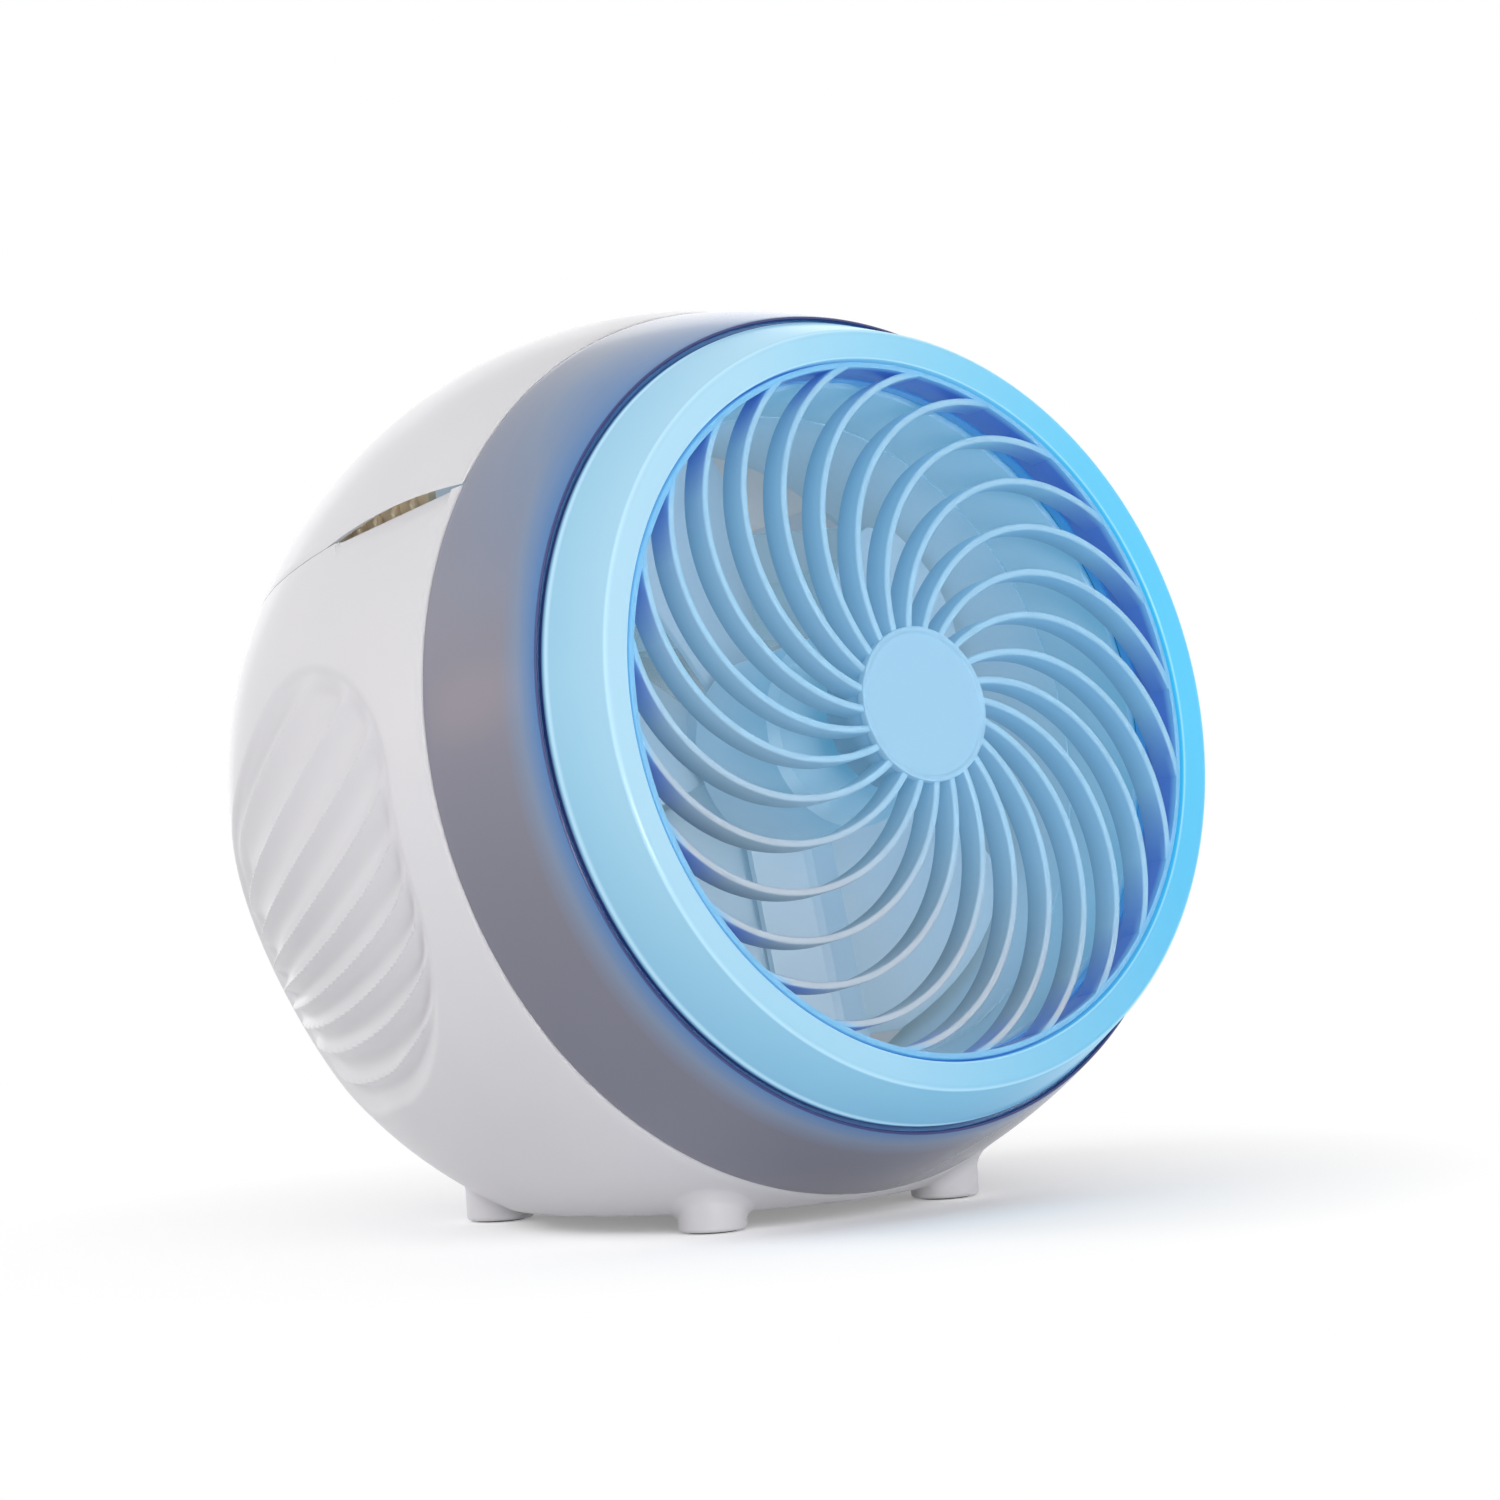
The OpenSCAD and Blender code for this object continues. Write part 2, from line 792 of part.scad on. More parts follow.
// One blade is a slice of a tube whose axis is radial, so it is cambered
module blade() {
    reach = 2 * shroud_r;
    intersection() {
        ring(blade_tip_r, fan_hub_r - 0.5, fan_rear_d - 0.5, fan_front_d);
        linear_extrude(big / 2)
            polygon([[0, 0], reach * [sin(blade_span / 2), cos(blade_span / 2)],
                reach * [-sin(blade_span / 2), cos(blade_span / 2)]]);
        translate([0, 0, (fan_front_d + fan_rear_d) / 2])
            rotate([0, blade_pitch, 0])
                translate([0, 0, -blade_camber_r + 4])
                    rotate([-90, 0, 0])
                        difference() {
                            cylinder(r = blade_camber_r, h = ball_r);
                            translate([0, 0, -eps])
                                cylinder(r = blade_camber_r - blade_t, h = ball_r + 2 * eps);
                        }
    }
}

module fan_impeller() {
    color(white)
        ball_frame()
            fan_frame()
                difference() {
                    union() {
                        translate([0, 0, fan_rear_d])
                            cylinder(r = fan_hub_r, h = fan_len);
                        for (i = [0 : blade_count - 1])
                            rotate([0, 0, 360 * i / blade_count])
                                blade();
                    }
                    translate([0, 0, fan_rear_d - 1])
                        cylinder(r = shaft_r, h = fan_len + 2);
                }
}

// Lid and tank

module lid() {
    color(white)
        ball_frame()
            intersection() {
                difference() {
                    sphere(r = ball_r);
                    sphere(r = lid_in_r);
                }
                lid_frame()
                    half_space_above(lid_cut);
                fan_frame()
                    half_space_below(split_d - fit_gap);
            }
}

// Ribbed skirt inside the lid, which centres it over the tank
module lid_liner() {
    color("antiquewhite")
        ball_frame()
            intersection() {
                sphere(r = lid_in_r - 0.1);
                fan_frame()
                    half_space_below(liner_front_d);
                lid_frame()
                    union() {
                        ring(liner_r, liner_r - liner_t, liner_z, lid_in_r);
                        for (i = [0 : liner_rib_count - 1])
                            rotate([0, 0, 360 * i / liner_rib_count])
                                translate([liner_r - 0.5, -0.6, liner_z + 0.6])
                                    cube([liner_rib + 0.5, 1.2, lid_in_r]);
                    }
            }
}

module water_tank() {
    color("lightblue", 0.8)
        ball_frame()
            lid_frame()
                difference() {
                    intersection() {
                        union() {
                            translate([0, 0, tank_floor_z])
                                cylinder(r = tank_r, h = tank_depth);
                            translate([0, 0, tank_top_z - tank_flange_t])
                                cylinder(r = tank_flange_r, h = tank_flange_t);
                        }
                        in_lid_frame_behind(tank_front_d);
                    }
                    intersection() {
                        translate([0, 0, tank_floor_z + tank_wall])
                            cylinder(r = tank_r - tank_wall, h = tank_depth);
                        in_lid_frame_behind(tank_front_d - tank_wall);
                    }
                    translate([0, valve_y, tank_floor_z - 1])
                        cylinder(r = valve_r + 0.1, h = tank_wall + 2);
                }
}

// Half space behind a plane across the fan's axis, seen from the lid's frame
module in_lid_frame_behind(d) {
    rotate([lid_tilt, 0, 0])
        fan_frame()
            half_space_below(d);
}

// Valve in the tank's floor that wets the top of the filter
module drip_valve() {
    color("gray")
        ball_frame()
            lid_frame()
                translate([0, valve_y, tank_floor_z])
                    difference() {
                        union() {
                            translate([0, 0, -2.4])
                                cylinder(r = valve_r, h = 2.4 + tank_wall + 1);
                            translate([0, 0, tank_wall + 0.1])
                                cylinder(r = valve_r + 2, h = 1.4);
                        }
                        translate([0, 0, -3])
                            cylinder(r = 1.2, h = 10);
                    }
}

// Filter

module filter_frame() {
    color("lightgray")
        ball_frame()
            fan_frame()
                translate([0, filter_v, filter_d])
                    difference() {
                        cube([filter_w, filter_h, filter_t], center = true);
                        translate([0, 0, filter_wall])
                            cube([filter_w - 2 * filter_wall, filter_h - 2 * filter_wall, filter_t], center = true);
                        cube([filter_w - 5 * filter_wall, filter_h - 5 * filter_wall, filter_t + 1], center = true);
                        translate([-filter_w / 4, filter_h / 2 - filter_wall - 1, -3])
                            cube([filter_w / 2, filter_wall + 2, 6]);
                    }
}

// Evaporating pad with upright channels on both faces
module filter_pad() {
    pad_w = filter_w - 2 * filter_wall - 2 * slip_gap;
    pad_h = filter_h - 2 * filter_wall - 2 * slip_gap;
    pad_depth = filter_t - filter_wall - slip_gap;
    channels = 12;
    color("tan")
        ball_frame()
            fan_frame()
                translate([0, filter_v, filter_d + filter_t / 2 - pad_depth / 2])
                    difference() {
                        cube([pad_w, pad_h, pad_depth], center = true);
                        for (i = [0 : channels - 1], side = [-1, 1])
                            translate([pad_w * ((i + 0.5) / channels - 0.5), 0, side * pad_depth / 2])
                                cube([pad_w / channels / 2, pad_h + 1, 3], center = true);
                    }
}

// Rear intake, panel, board, buttons and socket

module rear_grille() {
    grille_outer = ball_r - 0.2;
    rear_r = intake_r - slip_gap;
    middle_r = 3.2;
    slot_w = 2.4;
    slot_pitch = 4.4;
    slot_count = floor((rear_r - middle_r - 1) / slot_pitch);
    spoke_count = 6;
    color(white)
        ball_frame()
            difference() {
                intersection() {
                    difference() {
                        sphere(r = grille_outer);
                        sphere(r = ball_r - 2.7);
                    }
                    fan_frame()
                        translate([0, 0, -big])
                            cylinder(r = rear_r, h = big);
                }
                fan_frame()
                    difference() {
                        for (i = [0 : slot_count - 1])
                            ring(middle_r + slot_w + slot_pitch * i, middle_r + slot_pitch * i, -big / 2, -ball_r / 2);
                        for (i = [0 : spoke_count / 2 - 1])
                            rotate([0, 0, 360 * i / spoke_count])
                                cube([2, big, big], center = true);
                    }
            }
}

module control_board() {
    color("darkgreen")
        ball_frame()
            panel_frame()
                translate([-post_x - board_margin, -board_w / 2, board_d])
                    cube([2 * post_x + 2 * board_margin, board_w, board_t - 0.1]);
}

module tact_switches() {
    color("black")
        ball_frame()
            panel_frame()
                for (x = [-button_x, button_x])
                    translate([x - switch_w / 2, -switch_w / 2, board_d + board_t])
                        cube([switch_w, switch_w, switch_h]);
}

module usb_outline(grow, h) {
    r = usb_h / 2 + grow;
    straight = usb_w / 2 - usb_h / 2;
    union() {
        translate([-straight, -r, 0])
            cube([2 * straight, 2 * r, h]);
        for (x = [-straight, straight])
            translate([x, 0, 0])
                cylinder(r = r, h = h);
    }
}

module usb_socket() {
    color("silver")
        ball_frame()
            panel_frame()
                translate([0, 0, board_d + board_t])
                    difference() {
                        usb_outline(0, panel_d - board_d - board_t - 0.4);
                        difference() {
                            translate([0, 0, 2.5])
                                usb_outline(-usb_wall, 20);
                            translate([-3.2, -0.35, 0])
                                cube([6.4, 0.7, 7]);
                        }
                    }
}

module push_button(x) {
    color("lightgray")
        ball_frame()
            panel_frame()
                translate([x, 0, 0])
                    union() {
                        translate([0, 0, panel_back_d - fit_gap - button_flange])
                            cylinder(r = button_r, h = panel_t + button_proud + fit_gap + button_flange);
                        translate([0, 0, panel_back_d - fit_gap - button_flange])
                            cylinder(r = button_r + button_rim, h = button_flange);
                        translate([0, 0, board_d + board_t + switch_h + button_travel + 0.1])
                            cylinder(r = 1.5,
                                h = panel_back_d - fit_gap - board_d - board_t - switch_h - button_travel - 0.1);
                    }
}

module button_power() {
    push_button(-button_x);
}

module button_light() {
    push_button(button_x);
}

module foot_pad(i) {
    p = foot_places()[i];
    color("dimgray")
        ball_frame()
            translate([p[0], p[1], -centre_h])
                cylinder(r = pad_r, h = pad_t);
}

main_housing();
trim_band();
light_ring();
led_board();
lamps();
front_grille();
grille_cap();
inner_duct();
fan_shroud();
motor_bracket();
fan_motor();
motor_shaft();
fan_impeller();
lid();
lid_liner();
water_tank();
drip_valve();
filter_frame();
filter_pad();
rear_grille();
control_board();
tact_switches();
usb_socket();
button_power();
button_light();
foot_pad(0);  // foot_pad_fl
foot_pad(1);  // foot_pad_fr
foot_pad(2);  // foot_pad_rl
foot_pad(3);  // foot_pad_rr
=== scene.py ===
"""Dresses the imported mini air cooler: shells, swirl grille, lit ring and fan, on a pale stage."""
import json
import math

import bpy
import numpy as np
from mathutils import Matrix, Vector


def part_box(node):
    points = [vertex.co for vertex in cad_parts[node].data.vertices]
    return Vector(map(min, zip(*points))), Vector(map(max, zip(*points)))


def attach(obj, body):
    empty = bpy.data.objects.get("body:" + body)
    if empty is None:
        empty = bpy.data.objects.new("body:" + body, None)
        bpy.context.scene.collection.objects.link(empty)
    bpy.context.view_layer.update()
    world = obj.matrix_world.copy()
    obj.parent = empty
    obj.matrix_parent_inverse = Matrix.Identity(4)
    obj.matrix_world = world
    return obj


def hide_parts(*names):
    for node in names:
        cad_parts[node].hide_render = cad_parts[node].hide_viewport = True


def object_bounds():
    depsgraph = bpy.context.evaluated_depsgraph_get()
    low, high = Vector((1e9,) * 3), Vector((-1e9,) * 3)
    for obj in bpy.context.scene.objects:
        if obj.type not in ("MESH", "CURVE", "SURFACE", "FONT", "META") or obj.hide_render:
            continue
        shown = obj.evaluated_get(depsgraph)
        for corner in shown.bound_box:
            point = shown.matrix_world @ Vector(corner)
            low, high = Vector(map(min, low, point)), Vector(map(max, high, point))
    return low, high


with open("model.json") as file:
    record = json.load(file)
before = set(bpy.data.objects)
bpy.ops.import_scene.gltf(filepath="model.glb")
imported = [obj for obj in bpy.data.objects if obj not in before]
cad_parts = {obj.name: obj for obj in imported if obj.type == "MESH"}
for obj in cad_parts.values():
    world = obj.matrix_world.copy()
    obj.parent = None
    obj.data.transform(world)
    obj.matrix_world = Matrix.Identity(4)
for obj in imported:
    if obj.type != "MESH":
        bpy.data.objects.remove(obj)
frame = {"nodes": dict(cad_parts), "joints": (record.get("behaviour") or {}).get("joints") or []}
cad_box = [list(corner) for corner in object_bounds()]

bl_info = {
    "name": "Mini air cooler",
    "version": (1, 0, 0),
    "blender": (4, 5, 0),
    "location": "View3D > Sidebar > Cooler",
    "description": "Models and finishes the pieces of a ball-shaped desktop air cooler",
    "category": "Object",
}

MM = 0.001

# Distances within which vertices merge and within which a cut meets a vertex
MERGE_DISTANCE = 2e-6
CUT_THRESHOLD = 1e-7

# Divisions round the turned pieces
SHELL_STEPS = 256
LID_STEPS = 224
RIM_STEPS = 192
LINER_STEPS = 180
INTAKE_STEPS = 144
DISC_STEPS = 128
HUB_STEPS = 96
FOOT_STEPS = 64
BUTTON_STEPS = 64
PAD_STEPS = 48

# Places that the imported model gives: the ball's centre and the axes of the fan, the lid and the panel
JOINTS = {joint["name"]: joint for joint in frame["joints"]}
CENTRE = Vector(JOINTS["fan_spin"]["pos_m"])
MIDDLE = np.array(CENTRE)  # the same, for arrays of points
FAN_AXIS = Vector(JOINTS["fan_spin"]["axis"]).normalized()
LID_AXIS = Vector(JOINTS["lid_lift"]["axis"]).normalized()
PANEL_AXIS = -Vector(JOINTS["power_press"]["axis"]).normalized()
BALL_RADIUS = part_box("lid")[1].z - CENTRE.z
TABLE_HEIGHT = cad_box[0][2]


def own_frame(axis):
    """Matrix from a piece's own space, with Z along the axis and X across, to the ball's place."""
    x = Vector((1, 0, 0))
    y = axis.cross(x)
    matrix = Matrix((x, y, axis)).transposed().to_4x4()
    matrix.translation = CENTRE
    return matrix


FAN_FRAME = own_frame(FAN_AXIS)
LID_FRAME = own_frame(LID_AXIS)
PANEL_FRAME = own_frame(PANEL_AXIS)


def size(name, description, millimetres):
    """A length that a user may change."""
    return bpy.props.FloatProperty(
        name=name,
        description=description,
        default=millimetres * MM,
        subtype="DISTANCE",
        unit="LENGTH",
        precision=5,
    )


def tint(name, description, red, green, blue):
    """A colour that a user may change, in linear light."""
    return bpy.props.FloatVectorProperty(
        name=name,
        description=description,
        default=(red, green, blue),
        subtype="COLOR",
        size=3,
        min=0,
        max=1,
    )


class CoolerSizes(bpy.types.PropertyGroup):
    """Sizes of the visible pieces."""

    wall: size("Wall", "Thickness of the housing", 3.2)
    base_cut: size("Base cut", "Depth of the flat under the ball", 9.5)
    split: size("Split", "Distance along the fan's axis to the trim band", 25.3)
    band_length: size("Band length", "Length of the trim band", 22.9)
    band_drop: size("Band drop", "How much the trim band narrows", 6.6)
    band_curve: size("Band curve", "Radius of the band's outward curve", 142)
    ring_length: size("Ring length", "Length of the light ring", 12.3)
    ring_drop: size("Ring drop", "How much the light ring narrows", 5.5)
    ring_face: size("Ring face", "Width of the ring's front face", 5.1)
    groove: size("Groove", "Gap between band and ring", 0.8)
    vane_thickness: size("Vane thickness", "Thickness of a grille vane", 1.3)
    vane_depth: size("Vane depth", "Depth of a vane from its front edge to its rear edge", 5.4)
    vane_reach: size("Vane reach", "How far a vane's circle reaches past the rim", 2.6)
    grille_depth: size("Grille depth", "Depth of the grille at its rim", 7.8)
    grille_dome: size("Grille dome", "How far the grille's middle stands proud", 3.4)
    cap_radius: size("Cap radius", "Radius of the grille's middle disc", 13.6)
    lid_height: size("Lid height", "Height of the lid from edge to top", 34.7)
    lid_wall: size("Lid wall", "Thickness of the lid", 2.4)
    intake_radius: size("Intake radius", "Radius of the rear air intake", 27)
    panel_radius: size("Panel radius", "Radius of the flat control panel", 17)
    button_radius: size("Button radius", "Radius of a push button", 4)
    button_offset: size("Button offset", "Distance of a button from the panel's middle", 10.6)
    foot_radius: size("Foot radius", "Radius of a foot", 6)
    scoop_width: size("Scoop width", "Width of a finger scoop", 27)
    flute_depth: size("Flute depth", "Depth of a side flute below its crests", 2.0)
    crest_depth: size("Crest depth", "Depth of the crests below the ball", 0.8)


class CoolerColours(bpy.types.PropertyGroup):
    """Colours of the finishes."""

    shell: tint("Shell", "White moulded shell", 0.745, 0.74, 0.76)
    trim: tint("Trim", "Grey trim band", 0.262, 0.258, 0.312)
    # The grille's pale blue and the inner plastic's blue-grey are partly painted light of the ring
    grille: tint("Grille", "Pale plastic of the grille", 0.34, 0.58, 0.78)
    inner: tint("Inner", "White plastic of duct and fan", 0.5, 0.61, 0.69)
    liner: tint("Liner", "Cream plastic under the lid", 0.7, 0.58, 0.4)
    rubber: tint("Rubber", "Pads of the feet", 0.03, 0.03, 0.032)
    button: tint("Button", "Push buttons", 0.42, 0.42, 0.45)


def sizes():
    return bpy.context.scene.cooler_sizes


def colours():
    return bpy.context.scene.cooler_colours


def split_radius():
    return math.sqrt(BALL_RADIUS**2 - sizes().split**2)


def band_front():
    """Radius and distance of the trim band's front edge."""
    s = sizes()
    return split_radius() - s.band_drop, s.split + s.band_length


def ring_front():
    """Radius of the ring's crest, radius of its mouth and distance of its front."""
    s = sizes()
    radius, distance = band_front()
    crest = radius - s.ring_drop
    return crest, crest - s.ring_face, distance + s.ring_length


# Modelling helpers


def deselect():
    if bpy.context.mode != "OBJECT":
        bpy.ops.object.mode_set(mode="OBJECT")
    bpy.ops.object.select_all(action="DESELECT")


def make_active(piece):
    deselect()
    piece.select_set(True)
    bpy.context.view_layer.objects.active = piece


def named(name):
    piece = bpy.context.object
    piece.name = name
    piece.data.name = name
    return piece


def edit(piece, whole=True):
    make_active(piece)
    bpy.ops.object.mode_set(mode="EDIT")
    if whole:
        bpy.ops.mesh.select_all(action="SELECT")


def leave_edit():
    bpy.ops.object.mode_set(mode="OBJECT")


def tidy_mesh(piece):
    """Merges doubled vertices and turns all faces outwards."""
    edit(piece)
    bpy.ops.mesh.remove_doubles(threshold=MERGE_DISTANCE)
    bpy.ops.mesh.normals_make_consistent(inside=False)
    leave_edit()


def settle(piece, matrix):
    """Puts the piece at its place, with the place in its mesh."""
    make_active(piece)
    piece.matrix_world = matrix
    bpy.ops.object.transform_apply(location=True, rotation=True, scale=True)


def finish_modifier(piece, kind, **settings):
    make_active(piece)
    modifier = piece.modifiers.new(kind.title(), kind)
    for key, value in settings.items():
        setattr(modifier, key, value)
    bpy.ops.object.modifier_apply(modifier=modifier.name)


def round_edges(piece, width, segments=3, angle=30):
    finish_modifier(
        piece,
        "BEVEL",
        width=width,
        segments=segments,
        limit_method="ANGLE",
        angle_limit=math.radians(angle),
    )


def smooth(piece, angle=35):
    make_active(piece)
    bpy.ops.object.shade_smooth_by_angle(angle=math.radians(angle))


def cut_away(piece, cutter):
    """Subtracts the cutter from the piece and removes the cutter."""
    finish_modifier(piece, "BOOLEAN", operation="DIFFERENCE", object=cutter, solver="MANIFOLD")
    bpy.data.objects.remove(cutter)


def fuse(piece, other):
    finish_modifier(piece, "BOOLEAN", operation="UNION", object=other, solver="MANIFOLD")
    bpy.data.objects.remove(other)


def joined(name, pieces):
    deselect()
    for piece in pieces:
        piece.select_set(True)
    bpy.context.view_layer.objects.active = pieces[0]
    bpy.ops.object.join()
    return named(name)


def arc(centre, radius, start, end, steps):
    """Points (radius, height) along an arc, angles in degrees from the first axis."""
    points = []
    for i in range(steps + 1):
        a = math.radians(start + (end - start) * i / steps)
        points.append((centre[0] + radius * math.cos(a), centre[1] + radius * math.sin(a)))
    return points


def spun(name, outline, steps):
    """A closed outline of (radius, height) points, spun round Z."""
    deselect()
    bpy.ops.mesh.primitive_circle_add(vertices=len(outline))
    piece = named(name)
    for vertex, (radius, height) in zip(piece.data.vertices, outline):
        vertex.co = (radius, 0, height)
    edit(piece)
    bpy.ops.mesh.spin(steps=steps, angle=math.tau, center=(0, 0, 0), axis=(0, 0, 1))
    leave_edit()
    tidy_mesh(piece)
    return piece


def block(name, low, high):
    """A box between two corners."""
    deselect()
    low, high = Vector(low), Vector(high)
    bpy.ops.mesh.primitive_cube_add(size=1, location=(low + high) / 2, scale=high - low)
    bpy.ops.object.transform_apply(location=True, rotation=True, scale=True)
    return named(name)


def prism(name, outline, low, high):
    """An outline of (x, y) points, extruded from low to high along Z."""
    deselect()
    bpy.ops.mesh.primitive_circle_add(vertices=len(outline), fill_type="NGON")
    piece = named(name)
    for vertex, (x, y) in zip(piece.data.vertices, outline):
        vertex.co = (x, y, low)
    edit(piece)
    bpy.ops.mesh.extrude_region_move(TRANSFORM_OT_translate={"value": (0, 0, high - low)})
    leave_edit()
    tidy_mesh(piece)
    return piece


def bisect(piece, point, normal, **settings):
    edit(piece)
    bpy.ops.mesh.bisect(plane_co=point, plane_no=normal, threshold=CUT_THRESHOLD, **settings)
    leave_edit()


def read_points(mesh):
    points = np.empty(len(mesh.vertices) * 3)
    mesh.vertices.foreach_get("co", points)
    return points.reshape(-1, 3)


def write_points(mesh, points):
    mesh.vertices.foreach_set("co", points.ravel())
    mesh.update()


def face_centres(mesh):
    centres = np.empty(len(mesh.polygons) * 3)
    mesh.polygons.foreach_get("center", centres)
    return centres.reshape(-1, 3)


def select_faces(piece, chosen):
    """Opens the piece in edit mode with only these faces selected."""
    make_active(piece)
    mesh = piece.data
    mesh.vertices.foreach_set("select", np.zeros(len(mesh.vertices), dtype=bool))
    mesh.edges.foreach_set("select", np.zeros(len(mesh.edges), dtype=bool))
    mesh.polygons.foreach_set("select", chosen)
    bpy.context.tool_settings.mesh_select_mode = (False, False, True)
    bpy.ops.object.mode_set(mode="EDIT")


def dress(piece, material, body, *nodes, slot=None):
    """Gives a finished piece its material and its body, and hides the nodes that it stands for; slot is
    not used.
    """
    piece.data.materials.clear()
    piece.data.materials.append(material)
    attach(piece, body)
    if nodes:
        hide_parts(*nodes)
    return piece


def paint_nodes(**finishes):
    """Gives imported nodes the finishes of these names."""
    for name, kind in finishes.items():
        materials = frame["nodes"][name].data.materials
        materials.clear()
        materials.append(finish(kind))


# Finishes

# Direction towards the strongest part of the ring's light, and where along it, in millimetres from
# the ball's centre, the pieces behind the ring begin and cease to take it up
GLOW_AXIS = Vector((0.454, 0, 0.891))
GLOW_FROM = -27
GLOW_TO = -5

PLASTIC_IOR = 1.5
BLACK = (0, 0, 0)
WHITE = (1, 1, 1)

# Noise: the values between which most of it lies, and the scales of a moulded grain and of its gloss
NOISE_SPAN = (0.3, 0.7)
WIDE_SPAN = (0.2, 0.8)
GRAIN = 2600
GRAIN_DEPTH = 0.02
GLOSS_NOISE = (55, 4)


class Shader:
    """A material's node tree, built link by link."""

    def __init__(self, name, material=None):
        self.material = material or bpy.data.materials.new(name)
        self.material.use_nodes = True
        self.tree = self.material.node_tree
        self.body = self.tree.nodes["Principled BSDF"]
        places = self.add("ShaderNodeTexCoord")
        self.coords = places.outputs["Object"]
        self.normal = places.outputs["Normal"]

    def add(self, kind, **settings):
        node = self.tree.nodes.new(kind)
        for key, value in settings.items():
            setattr(node, key, value)
        return node

    def link(self, source, target):
        """Feeds a socket from another socket, a number, a colour or a vector."""
        if isinstance(source, bpy.types.NodeSocket):
            self.tree.links.new(source, target)
        elif target.type == "RGBA" and len(source) < 4:
            target.default_value = (*source, 1)
        else:
            target.default_value = source

    def set(self, **values):
        """Gives inputs of the surface, with _ for a space, their source or value."""
        for key, value in values.items():
            self.link(value, self.body.inputs[key.replace("_", " ")])

    def noise(self, scale, detail=2.0):
        node = self.add("ShaderNodeTexNoise")
        node.inputs["Scale"].default_value = scale
        node.inputs["Detail"].default_value = detail
        self.link(self.coords, node.inputs["Vector"])
        return node.outputs["Fac"]

    def ramp(self, source, *stops):
        """Colour ramp through stops of a position and a colour."""
        node = self.add("ShaderNodeValToRGB")
        elements = node.color_ramp.elements
        while len(elements) < len(stops):
            elements.new(0.5)
        for element, (position, colour) in zip(elements, stops):
            element.position = position
            element.color = (*colour, 1)
        self.link(source, node.inputs["Fac"])
        return node.outputs["Color"]

    def range(self, source, low, high, to_low=0, to_high=1):
        node = self.add("ShaderNodeMapRange")
        limits = {"From Min": low, "From Max": high, "To Min": to_low, "To Max": to_high}
        for name, value in limits.items():
            node.inputs[name].default_value = value
        self.link(source, node.inputs["Value"])
        return node.outputs["Result"]

    def span(self, source, base, reach, *limits):
        """Range of a distance between two places, each in millimetres from a base."""
        return self.range(source, *(base + step * MM for step in reach), *limits)

    def vector(self, operation, first, second=None):
        """A vector operation; its outputs are the vector and, for a dot or a length, the number."""
        node = self.add("ShaderNodeVectorMath", operation=operation)
        self.link(first, node.inputs[0])
        if second is not None:
            self.link(second, node.inputs[1])
        return node.outputs

    def along(self, axis, low, high):
        """0 to 1 along a direction in the object's space, from distance low to distance high."""
        return self.range(self.vector("DOT_PRODUCT", self.coords, axis)["Value"], low, high)

    def height(self, low, high):
        """0 to 1 between two heights, in millimetres from the ball's centre."""
        return self.along((0, 0, 1), CENTRE.z + low * MM, CENTRE.z + high * MM)

    def forward(self):
        """Distance along the fan's axis from the ball's centre."""
        middle = CENTRE.dot(FAN_AXIS)
        return self.along(FAN_AXIS, middle, middle + 1)

    def from_centre(self):
        return self.vector("SUBTRACT", self.coords, CENTRE)[0]

    def from_axis(self):
        """Distance from the fan's axis."""
        across = self.vector("CROSS_PRODUCT", self.from_centre(), FAN_AXIS)
        return self.vector("LENGTH", across[0])["Value"]

    def facing(self):
        """How much the surface faces along the fan's axis, from -1 to 1."""
        return self.vector("DOT_PRODUCT", self.normal, FAN_AXIS)["Value"]

    def outward(self):
        """How much the surface faces away from the ball's centre, from -1 to 1."""
        unit = self.vector("NORMALIZE", self.from_centre())
        return self.vector("DOT_PRODUCT", self.normal, unit[0])["Value"]

    def glow(self):
        """Share of the ring's light that a place takes up, most at the upper right."""
        middle = CENTRE.dot(GLOW_AXIS)
        return self.along(GLOW_AXIS, middle + GLOW_FROM * MM, middle + GLOW_TO * MM)

    def blend(self, factor, first, second, blend_type="MIX"):
        """Mixes two colours, each a socket or a plain colour."""
        node = self.add("ShaderNodeMix", data_type="RGBA", blend_type=blend_type)
        for number, source in zip((0, 6, 7), (factor, first, second)):
            self.link(source, node.inputs[number])
        return node.outputs[2]

    def multiply(self, first, second):
        return self.blend(1.0, first, second, "MULTIPLY")

    def mottled(self, colour, share, scale, detail=2.0):
        """The colour with cloudy patches that are darker and lighter by this share."""
        low, high = NOISE_SPAN
        cloud = self.noise(scale, detail)
        return self.ramp(cloud, (low, shade(colour, 1 - share)), (high, shade(colour, 1 + share)))

    def gloss(self, low, high, noise=GLOSS_NOISE, span=NOISE_SPAN):
        """Roughness that varies from place to place between low and high."""
        self.set(Roughness=self.range(self.noise(*noise), *span, low, high))

    def bump(self, height, strength, depth):
        """Relief from a pattern, its depth in millimetres."""
        node = self.add("ShaderNodeBump")
        node.inputs["Strength"].default_value = strength
        node.inputs["Distance"].default_value = depth * MM
        self.link(height, node.inputs["Height"])
        self.set(Normal=node.outputs["Normal"])

    def grained(self, strength, depth=GRAIN_DEPTH, scale=GRAIN):
        self.bump(self.noise(scale), strength, depth)


def shade(colour, factor):
    return tuple(min(1, part * factor) for part in colour)


def moulded(name, colour, roughness=0.4, grain=GRAIN, grain_depth=GRAIN_DEPTH, mottle=0.03, coat=0.0):
    """Moulded plastic: slight mottling, a fine eroded grain and uneven gloss."""
    m = Shader(name)
    m.set(Base_Color=m.mottled(colour, mottle, 18, 3))
    m.gloss(roughness - 0.04, roughness + 0.04)
    m.set(IOR=PLASTIC_IOR, Coat_Weight=coat, Coat_Roughness=0.08)
    m.grained(0.25, grain_depth, grain)
    return m.material


def finish(name):
    """The material of that name, made when it is first asked for."""
    return bpy.data.materials.get(name) or FINISHES[name](name)
